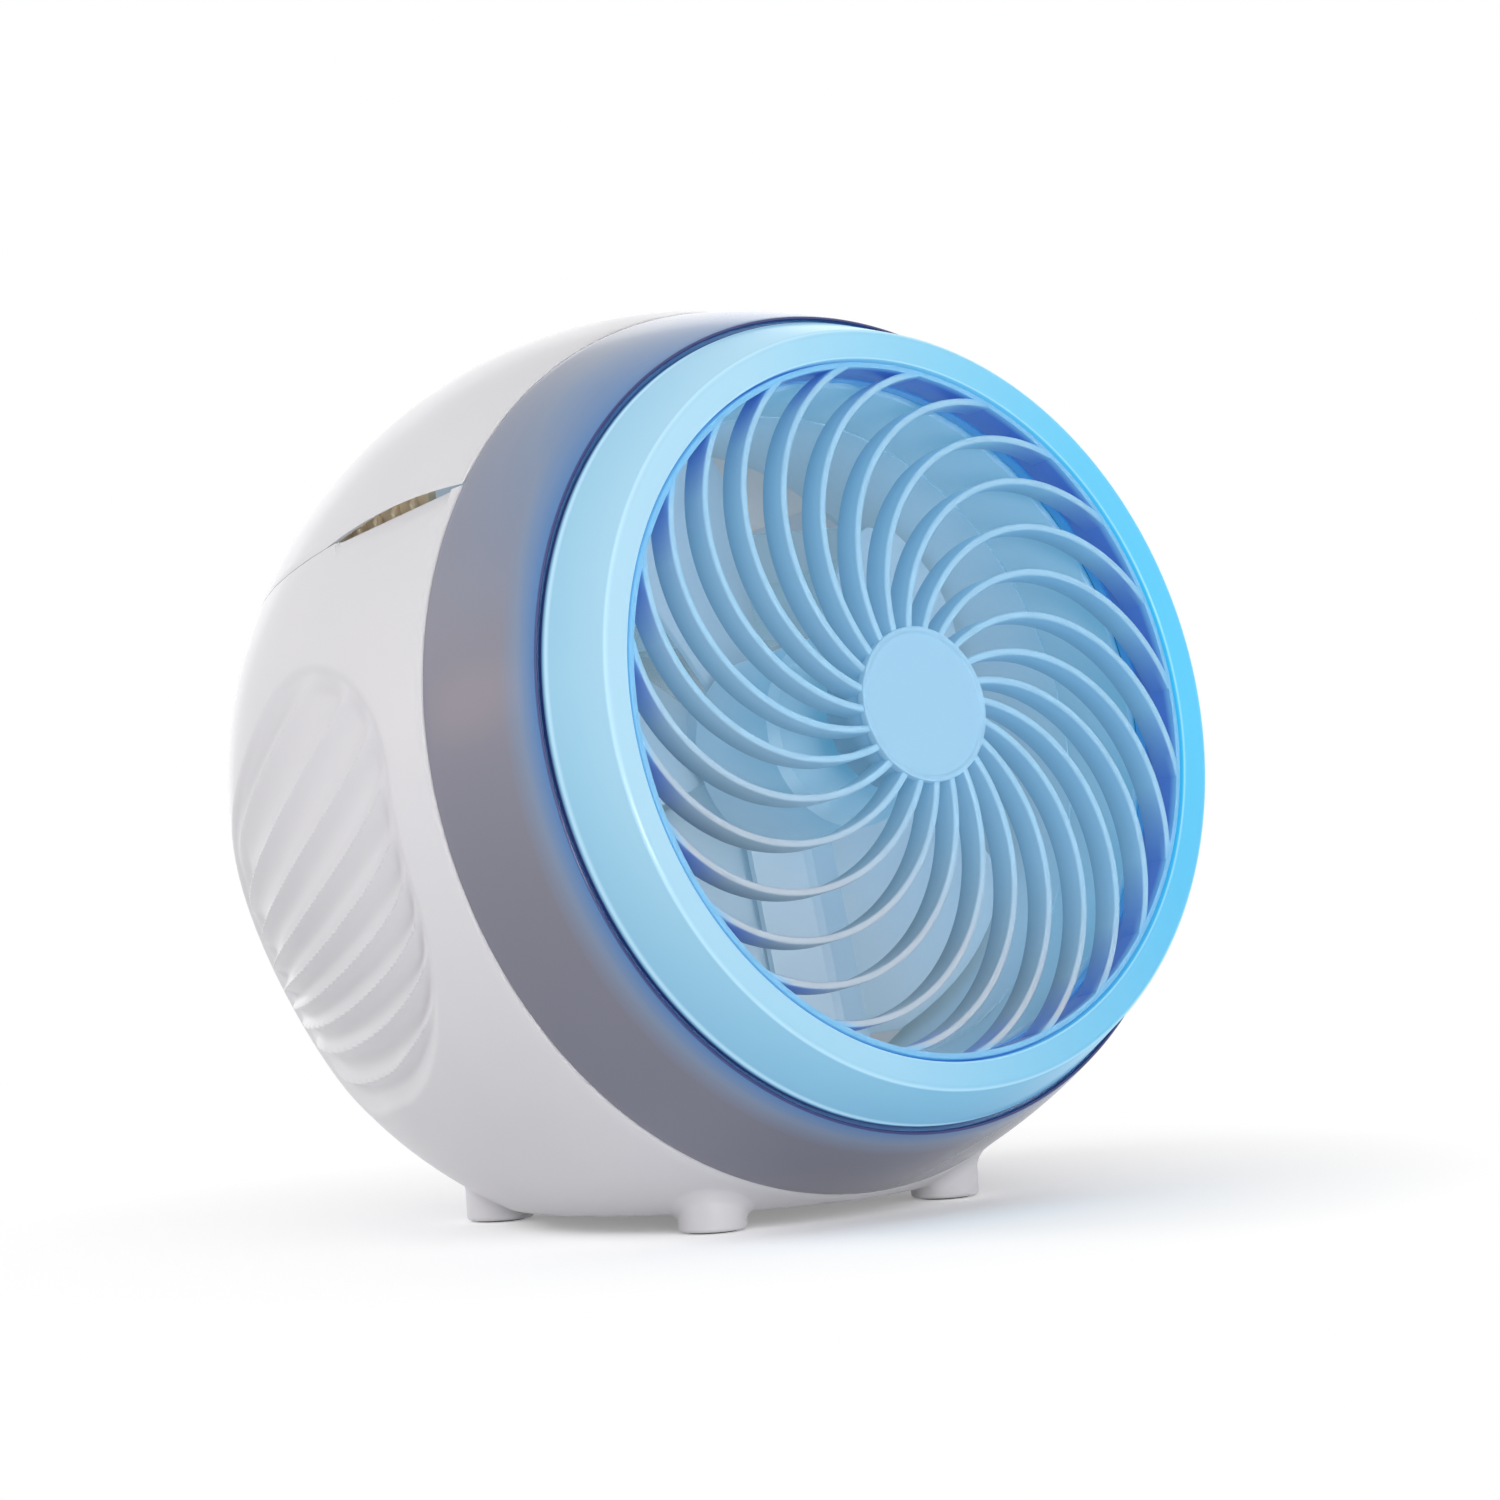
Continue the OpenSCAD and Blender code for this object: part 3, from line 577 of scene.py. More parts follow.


# Painted glow on the inner side of the thin shells, standing for daylight through them; how squarely a
# face looks inwards that gets it; and the painted blue light of the duct on the liner's inner side
INNER_GLOW = (0.13, 0.14, 0.15)
INNER_FACES = (-0.6, -0.3)
INNER_LIGHT_BLUE = (0.45, 0.58, 0.68)


def light_inner_side(m):
    """Paints a faint glow on the inner side, standing for daylight through the shell; gives 1 on that
    side and 0 outside.
    """
    inside = m.range(m.outward(), *INNER_FACES, 1, 0)
    m.set(Emission_Color=m.blend(inside, BLACK, INNER_GLOW), Emission_Strength=1.0)
    return inside


def shell_white(name):
    """White shell with a faint painted glow on its inner side, standing for daylight through it."""
    m = Shader(name, moulded(name, colours().shell, roughness=0.36, coat=0.15))
    light_inner_side(m)
    return m.material


def liner_cream(name):
    """Cream plastic, with painted pale blue light on its inner side where the duct's light reaches it,
    and a faint painted glow.
    """
    m = Shader(name, moulded(name, colours().liner, roughness=0.6, mottle=0.08))
    cream = m.body.inputs["Base Color"].links[0].from_socket
    m.set(Base_Color=m.blend(light_inner_side(m), cream, INNER_LIGHT_BLUE))
    return m.material


# Where the ring's painted blue light begins and is full, low and high on the ball, and where the
# painted shade of the groove begins and is full, from the band's front edge; and the heights between
# which the light's reach changes; all in millimetres
LOW_SPILL = (-7, 0)
HIGH_SPILL = (-30, 0)
GROOVE_SHADE_EDGE = (-0.35, -0.1)
SPILL_HEIGHTS = (30, 70)
# Heights between which painted shading makes the band's grey lighter towards the top
GREY_SHADE_HEIGHTS = (-75, 40)


def trim_grey(name):
    """Glossy grey, lighter towards the top by painted shading, with the ring's blue light painted along
    its front edge and painted navy shade inside the groove.
    """
    m = Shader(name)
    front = band_front()[1]
    depth = m.forward()
    low, high = (m.span(depth, front, reach) for reach in (LOW_SPILL, HIGH_SPILL))
    spill = m.blend(m.height(*SPILL_HEIGHTS), low, high)
    near = m.blend(m.range(spill, 0.5, 1), (0.2, 0.28, 0.42), (0.07, 0.21, 0.48))
    # Painted shading: the grey lighter towards the top
    height_shade = m.ramp(
        m.height(*GREY_SHADE_HEIGHTS),
        (0.0, (0.62, 0.65, 0.73)),
        (0.5, (0.78, 0.8, 0.84)),
        (1.0, WHITE),
    )
    grey = m.multiply(m.mottled(colours().trim, 0.07, 9), height_shade)
    # Painted blue light of the ring along the band's front edge
    lit = m.blend(m.range(spill, 0, 0.6), grey, near)
    # Painted navy shade inside the groove
    edge = m.span(depth, front, GROOVE_SHADE_EDGE)
    m.set(Base_Color=m.blend(edge, lit, (0.02, 0.03, 0.16)))
    m.gloss(0.22, 0.26, (20, 1), WIDE_SPAN)
    m.set(IOR=PLASTIC_IOR, Coat_Weight=0.25, Coat_Roughness=0.12)
    m.grained(0.15, GRAIN_DEPTH / 2)
    return m.material


# Light ring, in millimetres: sideways reach of its tones and upward reach of its painted shade from
# the ball's centre; the painted white highlight line beside the groove, from where it begins, as where
# it rises and where it fades; the painted dark shade strip inside the mouth, from the mouth's radius
# and from the front; and the painted shade in the groove
RING_ACROSS = (-60, 65)
RING_SHADE_HEIGHTS = (-62, 75)
RING_HIGHLIGHT_RISE = (0.4, 0.7)
RING_HIGHLIGHT_FALL = (1.1, 1.7)
MOUTH_SHADE_STRIP = (0.2, 0.5)
MOUTH_SHADE_DEPTHS = (-4, -2)
GROOVE_SHADE_STRIP = (-0.2, 0.3)
RING_STRENGTH = 0.76


def ring_milk(name):
    """Milky plastic, lit from inside, with painted shading: paler where it faces forward, bluer on its
    flank, low down and near the band, a painted highlight on the crest and beside the groove, and
    painted shade inside the mouth and in the groove.
    """
    m = Shader(name)
    start = band_front()[1]
    mouth, nose = ring_front()[1:]
    depth, facing = m.forward(), m.facing()
    across = m.along((1, 0, 0), *(reach * MM for reach in RING_ACROSS))
    tone = m.ramp(
        across,
        (0.0, (0.28, 0.47, 0.58)),
        (0.6, (0.14, 0.42, 0.58)),
        (1.0, (0.05, 0.46, 0.72)),
    )
    # Painted shade: bluer low down, paler towards the top
    low = m.ramp(
        m.height(*RING_SHADE_HEIGHTS),
        (0.0, (0.32, 0.66, 0.82)),
        (0.5, (0.8, 0.92, 0.97)),
        (1.0, (0.95, 0.98, 1)),
    )
    # Painted shade: darker near the band, brighter towards the front
    rise = m.range(depth, start, nose - 2 * MM)
    band_side_shade = m.ramp(rise, (0.0, (0.7, 0.84, 0.9)), (0.5, (0.86, 0.95, 0.97)), (1.0, (1.1, 1.06, 1.04)))
    flank = m.multiply(m.multiply(tone, low), band_side_shade)
    # Painted shading by facing: paler where the surface faces forward
    face = m.blend(m.range(across, 0.3, 1, 0.3, 0.1), flank, (0.46, 0.72, 0.84))
    plain = m.blend(m.range(facing, 0.45, 0.92), flank, face)
    # Painted highlight along the rounded crest
    crest_highlight = m.multiply(m.range(facing, 0.5, 0.68), m.range(facing, 0.78, 0.95, 0.5, 0))
    front = m.blend(crest_highlight, plain, (0.62, 0.88, 1.0))
    cloudy = m.blend(m.range(m.noise(9, 1), *WIDE_SPAN, 0, 0.07), front, (0.1, 0.42, 0.62))
    # Painted shade: dark blue inside the mouth
    strip = m.span(m.from_axis(), mouth, MOUTH_SHADE_STRIP, 1, 0)
    sunk = m.span(depth, nose, MOUTH_SHADE_DEPTHS, 1, 0)
    deep = m.blend(strip, cloudy, m.blend(sunk, cloudy, (0.03, 0.14, 0.42)))
    # Painted white highlight line beside the groove
    rising = m.span(depth, start, RING_HIGHLIGHT_RISE)
    falling = m.span(depth, start, RING_HIGHLIGHT_FALL, 0.55, 0)
    line = m.blend(m.range(across, 0.45, 0.75, 1, 0), BLACK, m.multiply(rising, falling))
    edged = m.blend(line, deep, (0.62, 0.86, 1.0))
    # Painted navy shade in the groove, in the base colour and in the glow
    groove = m.span(depth, start, GROOVE_SHADE_STRIP, 1, 0)
    milk = m.blend(m.range(across, 0.3, 0.9), (0.18, 0.31, 0.4), (0.01, 0.24, 0.4))
    m.set(Base_Color=m.blend(groove, milk, (0.02, 0.03, 0.14)))
    m.set(Emission_Color=m.blend(groove, edged, (0, 0.005, 0.06)), Emission_Strength=RING_STRENGTH)
    m.gloss(0.28, 0.32, (30, 1), WIDE_SPAN)
    m.set(IOR=PLASTIC_IOR, Coat_Weight=0.2, Coat_Roughness=0.1)
    return m.material


# Grille's painted light and shade, in millimetres: where the painted deep blue shade of the roots and
# the painted blue light on the rim begin and are full, from the radius of the ring's mouth, and the
# lip, from the ring's front; the direction and reach of the change from grey-blue to the ring's painted
# blue light; and the depth of a vane's fully lit front edge, behind which painted shade darkens its
# flank
ROOT_SHADE_REACH = (-7, -0.5)
RIM_LIGHT_REACH = (-3, -1)
LIP_REACH = (-2.4, -1.2)
BLUE_LIGHT_AXIS = Vector((0.75, 0, 0.66))
BLUE_LIGHT_REACH = (-45, 50)
VANE_LIT_DEPTH = 0.8


def grille_pale(name):
    """Pale plastic with the ring's light painted on: pale front edges, painted shade that darkens the
    grey-blue flanks towards the back, painted deep blue shade at the roots and a painted glow.
    """
    m = Shader(name)
    mouth, nose = ring_front()[1:]
    radius, depth = m.from_axis(), m.forward()
    # Painted light of the ring: grey-blue at the lower left, bluer at the upper right
    middle = CENTRE.dot(BLUE_LIGHT_AXIS)
    corner = m.along(BLUE_LIGHT_AXIS, *(middle + reach * MM for reach in BLUE_LIGHT_REACH))
    # Painted deep blue shade at the vane roots
    root = m.span(radius, mouth, ROOT_SHADE_REACH)
    behind = m.add("ShaderNodeMath", operation="ADD")
    m.link(depth, behind.inputs[0])
    m.link(m.range(radius, 0, mouth, 0, sizes().grille_dome), behind.inputs[1])
    # Painted shade: flanks darker towards the back of the vanes
    rise = m.range(behind.outputs[0], dome(0) - sizes().vane_depth, dome(0) - VANE_LIT_DEPTH * MM)
    shaded = m.ramp(rise, (0.0, (0.5, 0.53, 0.58)), (0.45, (0.74, 0.76, 0.79)), (1.0, WHITE))
    flank = m.multiply(m.blend(corner, (0.36, 0.47, 0.56), (0.23, 0.47, 0.68)), shaded)
    root_shaded = m.blend(root, flank, (0.045, 0.12, 0.5))
    # Painted blue light of the ring on the rim
    rim = m.span(radius, mouth, RIM_LIGHT_REACH)
    ridge = m.blend(m.glow(), (0.46, 0.52, 0.6), tuple(colours().grille))
    edge = m.blend(rim, ridge, (0.2, 0.5, 0.8))
    lip = m.blend(m.span(depth, nose, LIP_REACH), BLACK, rim)
    front = m.blend(m.range(m.facing(), 0.35, 0.8), lip, WHITE)
    m.set(Base_Color=m.blend(front, root_shaded, edge))
    # Painted glow of the ring's light, deep blue at the roots and stronger on front faces
    lit = m.blend(m.glow(), (0.025, 0.035, 0.035), (0.045, 0.115, 0.17))
    side = m.blend(root, lit, (0.01, 0.04, 0.14))
    shine = m.blend(m.glow(), (0.01, 0.04, 0.055), (0, 0.05, 0.09))
    m.set(Emission_Color=m.blend(front, side, shine), Emission_Strength=1.0, IOR=PLASTIC_IOR)
    m.gloss(0.3, 0.38)
    m.grained(0.2)
    return m.material


def inner_white(name):
    """White plastic with a painted glow of the ring's light, most of all near the ring."""
    m = Shader(name)
    m.set(Base_Color=m.mottled(colours().inner, 0.04, 14, 3))
    near = m.range(m.forward(), 0, duct_sizes()[1])
    # Painted glow of the ring's light, bluer near the ring
    still = m.ramp(
        near,
        (0.0, (0.04, 0.07, 0.085)),
        (0.55, (0.055, 0.08, 0.095)),
        (1.0, (0.01, 0.07, 0.1)),
    )
    blue = m.ramp(near, (0.0, (0.06, 0.08, 0.09)), (0.55, (0.07, 0.14, 0.19)), (1.0, (0, 0.12, 0.2)))
    m.set(Emission_Color=m.blend(m.glow(), still, blue), Emission_Strength=1.0, IOR=PLASTIC_IOR)
    m.gloss(0.32, 0.42)
    m.grained(0.2)
    return m.material


def pad_rubber(name):
    return moulded(name, colours().rubber, roughness=0.75, grain=900, grain_depth=0.06, mottle=0.15)


def button_grey(name):
    return moulded(name, colours().button)


def board_green(name):
    return moulded(name, (0.01, 0.09, 0.035), roughness=0.3, mottle=0.2, coat=0.4)


def switch_black(name):
    return moulded(name, (0.012, 0.012, 0.014))


def seal_rubber(name):
    return moulded(name, (0.07, 0.07, 0.075), roughness=0.7)


def filter_grey(name):
    return moulded(name, (0.45, 0.47, 0.5), roughness=0.5)


def lamp_resin(name):
    m = Shader(name)
    resin = m.ramp(m.noise(300), (0.3, (0.75, 0.7, 0.35)), (0.7, (0.85, 0.82, 0.6)))
    m.set(Base_Color=resin, Roughness=0.2, IOR=PLASTIC_IOR)
    return m.material


def steel(name):
    m = Shader(name)
    m.set(Base_Color=m.ramp(m.noise(240, 4), (0.3, (0.42, 0.42, 0.44)), (0.7, (0.55, 0.55, 0.57))))
    m.gloss(0.24, 0.36, (900, 2))
    m.set(Metallic=1.0)
    return m.material


def tank_clear(name):
    """Clear plastic, faintly lit by what passes through it."""
    m = Shader(name)
    m.set(Base_Color=m.ramp(m.noise(30, 3), (0.3, (0.7, 0.84, 0.9)), (0.7, (0.8, 0.9, 0.95))))
    m.set(Transmission_Weight=0.85, IOR=1.45, Alpha=0.75)
    m.set(Emission_Color=(0.022, 0.042, 0.055), Emission_Strength=1.0)
    m.gloss(0.08, 0.16, (80,))
    return m.material


def filter_paper(name):
    """Pale pleated paper, with painted shade darker and lighter across each pleat."""
    m = Shader(name)
    wave = m.add("ShaderNodeTexWave", bands_direction="X")
    wave.inputs["Scale"].default_value = 90
    wave.inputs["Distortion"].default_value = 0.6
    m.link(m.coords, wave.inputs["Vector"])
    pleats = wave.outputs["Fac"]
    m.set(Base_Color=m.ramp(pleats, (0.0, (0.34, 0.4, 0.44)), (1.0, (0.56, 0.62, 0.66))), Roughness=0.9)
    m.bump(pleats, 0.5, 0.4)
    return m.material


FINISHES = {
    maker.__name__: maker
    for maker in (
        shell_white,
        trim_grey,
        ring_milk,
        grille_pale,
        inner_white,
        liner_cream,
        pad_rubber,
        button_grey,
        board_green,
        lamp_resin,
        steel,
        switch_black,
        seal_rubber,
        tank_clear,
        filter_grey,
        filter_paper,
    )
}


# Side recess and its flutes, in millimetres from the ball's centre as seen from the side. The
# recess is wrapped round three rounds, each (y, z, radius); RECESS_EDGE is the width of its rolled
# edge, which begins at RECESS_RIM outside the outline, and the flutes fade in from FLUTE_RIM inwards.
RECESS_ROUNDS = ((6, 3.8, 22), (14, -18.4, 33.6), (24, -24.6, 29.6))
RECESS_EDGE = 1.7
RECESS_RIM = 0.3
FLUTE_RIM = -0.4
FLUTE_FADE = 2.6 * RECESS_EDGE
# Only the ball's sides, this far from its middle, have a recess
RECESS_FROM = 20
# How far outside the outline the skin is divided finely, and how far it is pressed
DIVIDED_MARGIN = 1.5
PRESSED_MARGIN = 1
FLUTE_CUTS = 3

# Crests between the flutes, numbered from the top. Height and slope at y = CREST_AT and radius of a
# crest's arc are sums over the powers of (number - CREST_MIDDLE) / CREST_SPAN.
CREST_MIDDLE = 5
CREST_SPAN = 4
CREST_AT = 5
CREST_HEIGHTS = (-20.4, -28.7, 11.3, -7.7)
CREST_SLOPES = (-0.5, 0.32, -0.1)
CREST_RADII = (103, -20.5)
CREST_FIRST = -2
CREST_LAST = 12
CREST_SOFTNESS = 0.06
# Bend of the crests near the recess's front edge: its size, how far in from the edge it dies away,
# where it begins and over what length it grows
CREST_BEND = 5.5
CREST_BEND_REACH = 3.5
CREST_BEND_FROM = 8
CREST_BEND_LENGTH = 16


def crest_arc(number):
    """Centre and radius, in the side view, of the arc that a crest of the flutes follows."""
    step = (number - CREST_MIDDLE) / CREST_SPAN
    height, slope, radius = (
        sum(part * step**power for power, part in enumerate(parts))
        for parts in (CREST_HEIGHTS, CREST_SLOPES, CREST_RADII)
    )
    return CREST_AT - radius * math.sin(slope), height + radius * math.cos(slope), radius


def flute_phase(places, outside):
    """How far places (n, 3) lie between two crests, from 0 at one to 1 at the next."""
    phase = np.zeros(len(places))
    forward = ease((CREST_BEND_FROM - places[:, 1]) / CREST_BEND_LENGTH)
    places = places.copy()
    places[:, 2] -= CREST_BEND * forward * np.exp(np.minimum(outside, 0) / CREST_BEND_REACH)
    above = None
    for number in range(CREST_FIRST, CREST_LAST + 1):
        y, z, radius = crest_arc(number)
        reach = np.hypot(places[:, 1] - y, places[:, 2] - z) - radius
        if above is not None:
            between = (above >= 0) & (reach < 0)
            phase[between] = above[between] / (above - reach)[between]
        above = reach
    return phase


def tangent_turn(p, q):
    """Direction in which the outer tangent from round p to the next round q faces."""
    across = Vector((q[0] - p[0], q[1] - p[1]))
    return math.atan2(across.y, across.x) - math.acos((p[2] - q[2]) / across.length)


def recess_outline(steps=40):
    """Points along the outline of the recess, with the way that each stretch faces."""
    points = []
    for i, current in enumerate(RECESS_ROUNDS):
        y, z, radius = current
        before, after = RECESS_ROUNDS[i - 1], RECESS_ROUNDS[(i + 1) % len(RECESS_ROUNDS)]
        start = tangent_turn(before, current)
        sweep = (tangent_turn(current, after) - start) % math.tau
        for k in range(steps + 1):
            a = start + sweep * k / steps
            facing = (math.cos(a), math.sin(a))
            points.append((y + radius * facing[0], z + radius * facing[1], *facing))
    return np.array(points)


def recess_distance(places):
    """Distance outside the outline of places (n, 3) from the ball's centre, in millimetres."""
    outline = recess_outline()
    y, z = places[:, 1:2], places[:, 2:3]
    reach = (y - outline[:, 0]) * outline[:, 2] + (z - outline[:, 1]) * outline[:, 3]
    return reach.max(axis=1)


def ease(values):
    t = np.clip(values, 0, 1)
    return t * t * (3 - 2 * t)


def flute_depths(places):
    """How deep the moulded recess lies below the ball at these places, in millimetres."""
    s = sizes()
    outside = recess_distance(places)
    hollow = 1 - (2 * flute_phase(places, outside) - 1) ** 2
    soft = np.sqrt(hollow**2 + CREST_SOFTNESS**2) - CREST_SOFTNESS
    inside = ease((RECESS_RIM - outside) / RECESS_EDGE)
    fade = ease((FLUTE_RIM - outside) / FLUTE_FADE)
    return inside * (s.crest_depth + s.flute_depth * soft * fade) / MM


# Housing, in millimetres: the softened corner at the trim band, as steps inwards and backwards, the
# angle in degrees from there to the ball's own outline, and the rebate that holds the rear intake
FRONT_CORNER = ((0.7, 0), (0.25, 0.12))
FRONT_TURN = 0.42
INTAKE_LEDGE = 1.6
INTAKE_REBATE = 2.9


def housing_outline():
    """Outline of the shell from the trim band round to the air intake."""
    s = sizes()
    front = math.degrees(math.asin(s.split / BALL_RADIUS))
    inner = BALL_RADIUS - s.wall
    rear = -math.degrees(math.acos(s.intake_radius / BALL_RADIUS))
    lip = s.intake_radius - INTAKE_LEDGE * MM
    corner = [(split_radius() - inwards * MM, s.split - back * MM) for inwards, back in FRONT_CORNER]
    outer_arc = corner + arc((0, 0), BALL_RADIUS, front - FRONT_TURN, rear, 74)
    inner_front = math.degrees(math.asin(s.split / inner))
    inner_arc = arc((0, 0), inner, -math.degrees(math.acos(lip / inner)), inner_front, 40)
    step = -math.sqrt((BALL_RADIUS - INTAKE_REBATE * MM) ** 2 - s.intake_radius**2)
    return outer_arc + [(s.intake_radius, step), (lip, step)] + inner_arc


def base_height():
    """Height of the flat under the ball."""
    return CENTRE.z - BALL_RADIUS + sizes().base_cut


def flatten_base(piece):
    """Flattens the ball's underside, outside and inside."""
    s = sizes()
    outside = base_height()
    inside = outside + s.wall
    for height in (outside, inside):
        bisect(piece, (0, 0, height), (0, 0, 1))
    points = read_points(piece.data)
    outer = np.linalg.norm(points - MIDDLE, axis=1) > BALL_RADIUS - s.wall / 2
    points[outer, 2] = np.maximum(points[outer, 2], outside)
    points[~outer, 2] = np.maximum(points[~outer, 2], inside)
    write_points(piece.data, points)


def in_recess(places, margin):
    """Which places (n, 3) on the outer skin lie in a recess or at most a margin outside it."""
    skin = (BALL_RADIUS - sizes().wall / 2) / MM
    outer = (np.linalg.norm(places, axis=1) > skin) & (np.abs(places[:, 0]) > RECESS_FROM)
    return outer & (recess_distance(places) < margin)


def press_flutes(piece):
    """Divides the skin in both recesses finely and presses the flutes into it."""
    select_faces(piece, in_recess((face_centres(piece.data) - MIDDLE) / MM, DIVIDED_MARGIN))
    bpy.ops.mesh.subdivide(number_cuts=FLUTE_CUTS)
    leave_edit()
    places = (read_points(piece.data) - MIDDLE) / MM
    moved = in_recess(places, PRESSED_MARGIN)
    radius = np.linalg.norm(places[moved], axis=1)
    places[moved] *= ((BALL_RADIUS / MM - flute_depths(places[moved])) / radius)[:, None]
    write_points(piece.data, places * MM + MIDDLE)


# Lid's seam and finger scoops, in millimetres: gap of the seam; turn of a scoop to the front in
# degrees, height of its slit inside and of its mouth outside, how far out from the wall's inner
# side its ramp begins, and the reach and rounding of its cutter
SEAM = 0.15
SCOOP_AT = 14
SCOOP_SLIT = 1.0
SCOOP_HEIGHT = 6
SCOOP_INSET = 2.5
SCOOP_REACH = (-6, 14)
SCOOP_ROUNDING = 1.2


def seat_height():
    """Distance along the lid's axis to the housing's edge under the lid."""
    return BALL_RADIUS - sizes().lid_height - SEAM * MM


def scoop_turn(side):
    """Angle round the lid's axis at which a finger scoop sits."""
    return math.pi + math.radians(SCOOP_AT) if side < 0 else -math.radians(SCOOP_AT)


def scoop_cutter(side):
    """Ramp that slopes down and out through the wall under the lid's edge."""
    s = sizes()
    seat = seat_height()
    inner_height = seat - SCOOP_SLIT * MM
    outer_height = seat - SCOOP_HEIGHT * MM
    inner_at = math.sqrt((BALL_RADIUS - s.wall) ** 2 - seat**2) + SCOOP_INSET * MM
    outer_at = math.sqrt(BALL_RADIUS**2 - outer_height**2)
    slope = math.atan2(inner_height - outer_height, outer_at - inner_at)
    half = s.scoop_width / 2
    near, far = (reach * MM for reach in SCOOP_REACH)
    cutter = block("scoop_cutter", (near, -half, 0), (far, half, far))
    round_edges(cutter, SCOOP_ROUNDING * MM, 3)
    place = (
        LID_FRAME
        @ Matrix.Rotation(scoop_turn(side), 4, "Z")
        @ Matrix.Translation((inner_at, 0, inner_height))
        @ Matrix.Rotation(slope, 4, "Y")
    )
    settle(cutter, place)
    return cutter


def foot_places():
    """Node's name, middle, radius and height of each pad on the table."""
    places = []
    for end in ("fl", "fr", "rl", "rr"):
        name = "foot_pad_" + end
        low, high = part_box(name)
        places.append((name, (low + high) / 2, (high.x - low.x) / 2, high.z - low.z))
    return places


# Feet, in millimetres: how far a pad stands out under the foot, rounding at the foot's lower edge,
# radius of the flare at its root, how far the root rises into the base, and how far under the base
# the flare takes up the ball's curve, as a share of its radius
PAD_PROUD = 0.25
FOOT_ROUNDING = 0.7
FOOT_FILLET = 2
FOOT_ROOT = 1.2
FLARE_SHARE = 0.95


def foot_stem(place):
    """A foot whose flared root follows the ball's curve."""
    r = sizes().foot_radius
    low, base = TABLE_HEIGHT + PAD_PROUD * MM, base_height()
    corner, fillet = FOOT_ROUNDING * MM, FOOT_FILLET * MM
    rounded = arc((r - corner, low + corner), corner, -90, 0, 5)
    root = arc((r + fillet, base - FLARE_SHARE * fillet), fillet, 180, 95, 10)
    top = base + FOOT_ROOT * MM
    outline = [(0, low)] + rounded + root + [(r + fillet, top), (0, top)]
    stem = spun("stem", outline, FOOT_STEPS)
    settle(stem, Matrix.Translation((place.x, place.y, 0)))
    points = read_points(stem.data)
    away = (points - MIDDLE)[:, :2]
    surface = CENTRE.z - np.sqrt(BALL_RADIUS**2 - (away**2).sum(axis=1))
    lift = np.maximum(surface - base, 0)
    points[:, 2] += np.where(points[:, 2] > base - (FLARE_SHARE + 0.01) * fillet, lift, 0)
    write_points(stem.data, points)
    return stem


# Panel, in millimetres: half width and height of the block that flattens it, how far the cutters of
# its holes reach in and out, gap round a button, and half length and radius of the inlet's slot
PANEL_BLOCK = (30, 10)
HOLE_INWARDS = 10
HOLE_OUTWARDS = 5
BUTTON_GAP = 0.25
BUTTON_HOLE_SIDES = 48
INLET_HALF = 2.85
INLET_RADIUS = 1.9


def panel_cutters():
    """Makes, one after the other, what is cut away for the panel, its buttons and its inlet."""
    s = sizes()
    half, height = (length * MM for length in PANEL_BLOCK)
    flat = math.sqrt(BALL_RADIUS**2 - s.panel_radius**2)
    yield block("panel_cutter", (-half, -half, flat), (half, half, flat + height))
    low, high = flat - HOLE_INWARDS * MM, flat + HOLE_OUTWARDS * MM
    last = BUTTON_HOLE_SIDES - 1
    for x in (-s.button_offset, s.button_offset):
        ring = arc((x, 0), s.button_radius + BUTTON_GAP * MM, 0, 360 * last / BUTTON_HOLE_SIDES, last)
        yield prism("button_cutter", ring, low, high)
    end, radius = INLET_HALF * MM, INLET_RADIUS * MM
    inlet = arc((end, 0), radius, -90, 90, 12) + arc((-end, 0), radius, 90, 270, 12)
    yield prism("inlet_cutter", inlet, low, high)


class COOLER_OT_housing(bpy.types.Operator):
    """Ball-shaped housing with pressed flutes, finger scoops, panel and feet"""

    bl_idname = "cooler.housing"
    bl_label = "Housing"

    def execute(self, context):
        piece = spun("housing_shell", housing_outline(), SHELL_STEPS)
        settle(piece, FAN_FRAME)
        flatten_base(piece)
        bisect(piece, CENTRE + LID_AXIS * seat_height(), LID_AXIS, use_fill=True, clear_outer=True)
        for side in (-1, 1):
            cut_away(piece, scoop_cutter(side))
        for cutter in panel_cutters():
            settle(cutter, PANEL_FRAME)
            cut_away(piece, cutter)
        for _, place, _, _ in foot_places():
            fuse(piece, foot_stem(place))
        press_flutes(piece)
        smooth(piece, 32)
        dress(piece, finish("shell_white"), "housing", "main_housing", slot="white_shell")
        return {"FINISHED"}


# Arch in the lid's edge over a scoop, in millimetres: its rise and the half length of its cutter,
# and the cutter's tilt in degrees
SCOOP_ARCH = 1.1
ARCH_HALF = 12
ARCH_TILT = 16


def arch_cutter(side):
    """Flat disc that cuts a shallow arch into the lid's edge above a scoop."""
    s = sizes()
    edge = BALL_RADIUS - s.lid_height
    half, rise = s.scoop_width / 2, SCOOP_ARCH * MM
    radius = (half**2 + rise**2) / (2 * rise)
    ring = arc((0, 0), radius, 0, 359, 359)
    cutter = prism("arch_cutter", ring, -ARCH_HALF * MM, ARCH_HALF * MM)
    across = math.sqrt(BALL_RADIUS**2 - edge**2)
    place = (
        LID_FRAME
        @ Matrix.Rotation(scoop_turn(side), 4, "Z")
        @ Matrix.Translation((across, 0, edge + rise))
        @ Matrix.Rotation(math.pi / 2 + math.radians(ARCH_TILT), 4, "Y")
        @ Matrix.Translation((radius, 0, 0))
    )
    settle(cutter, place)
    return cutter


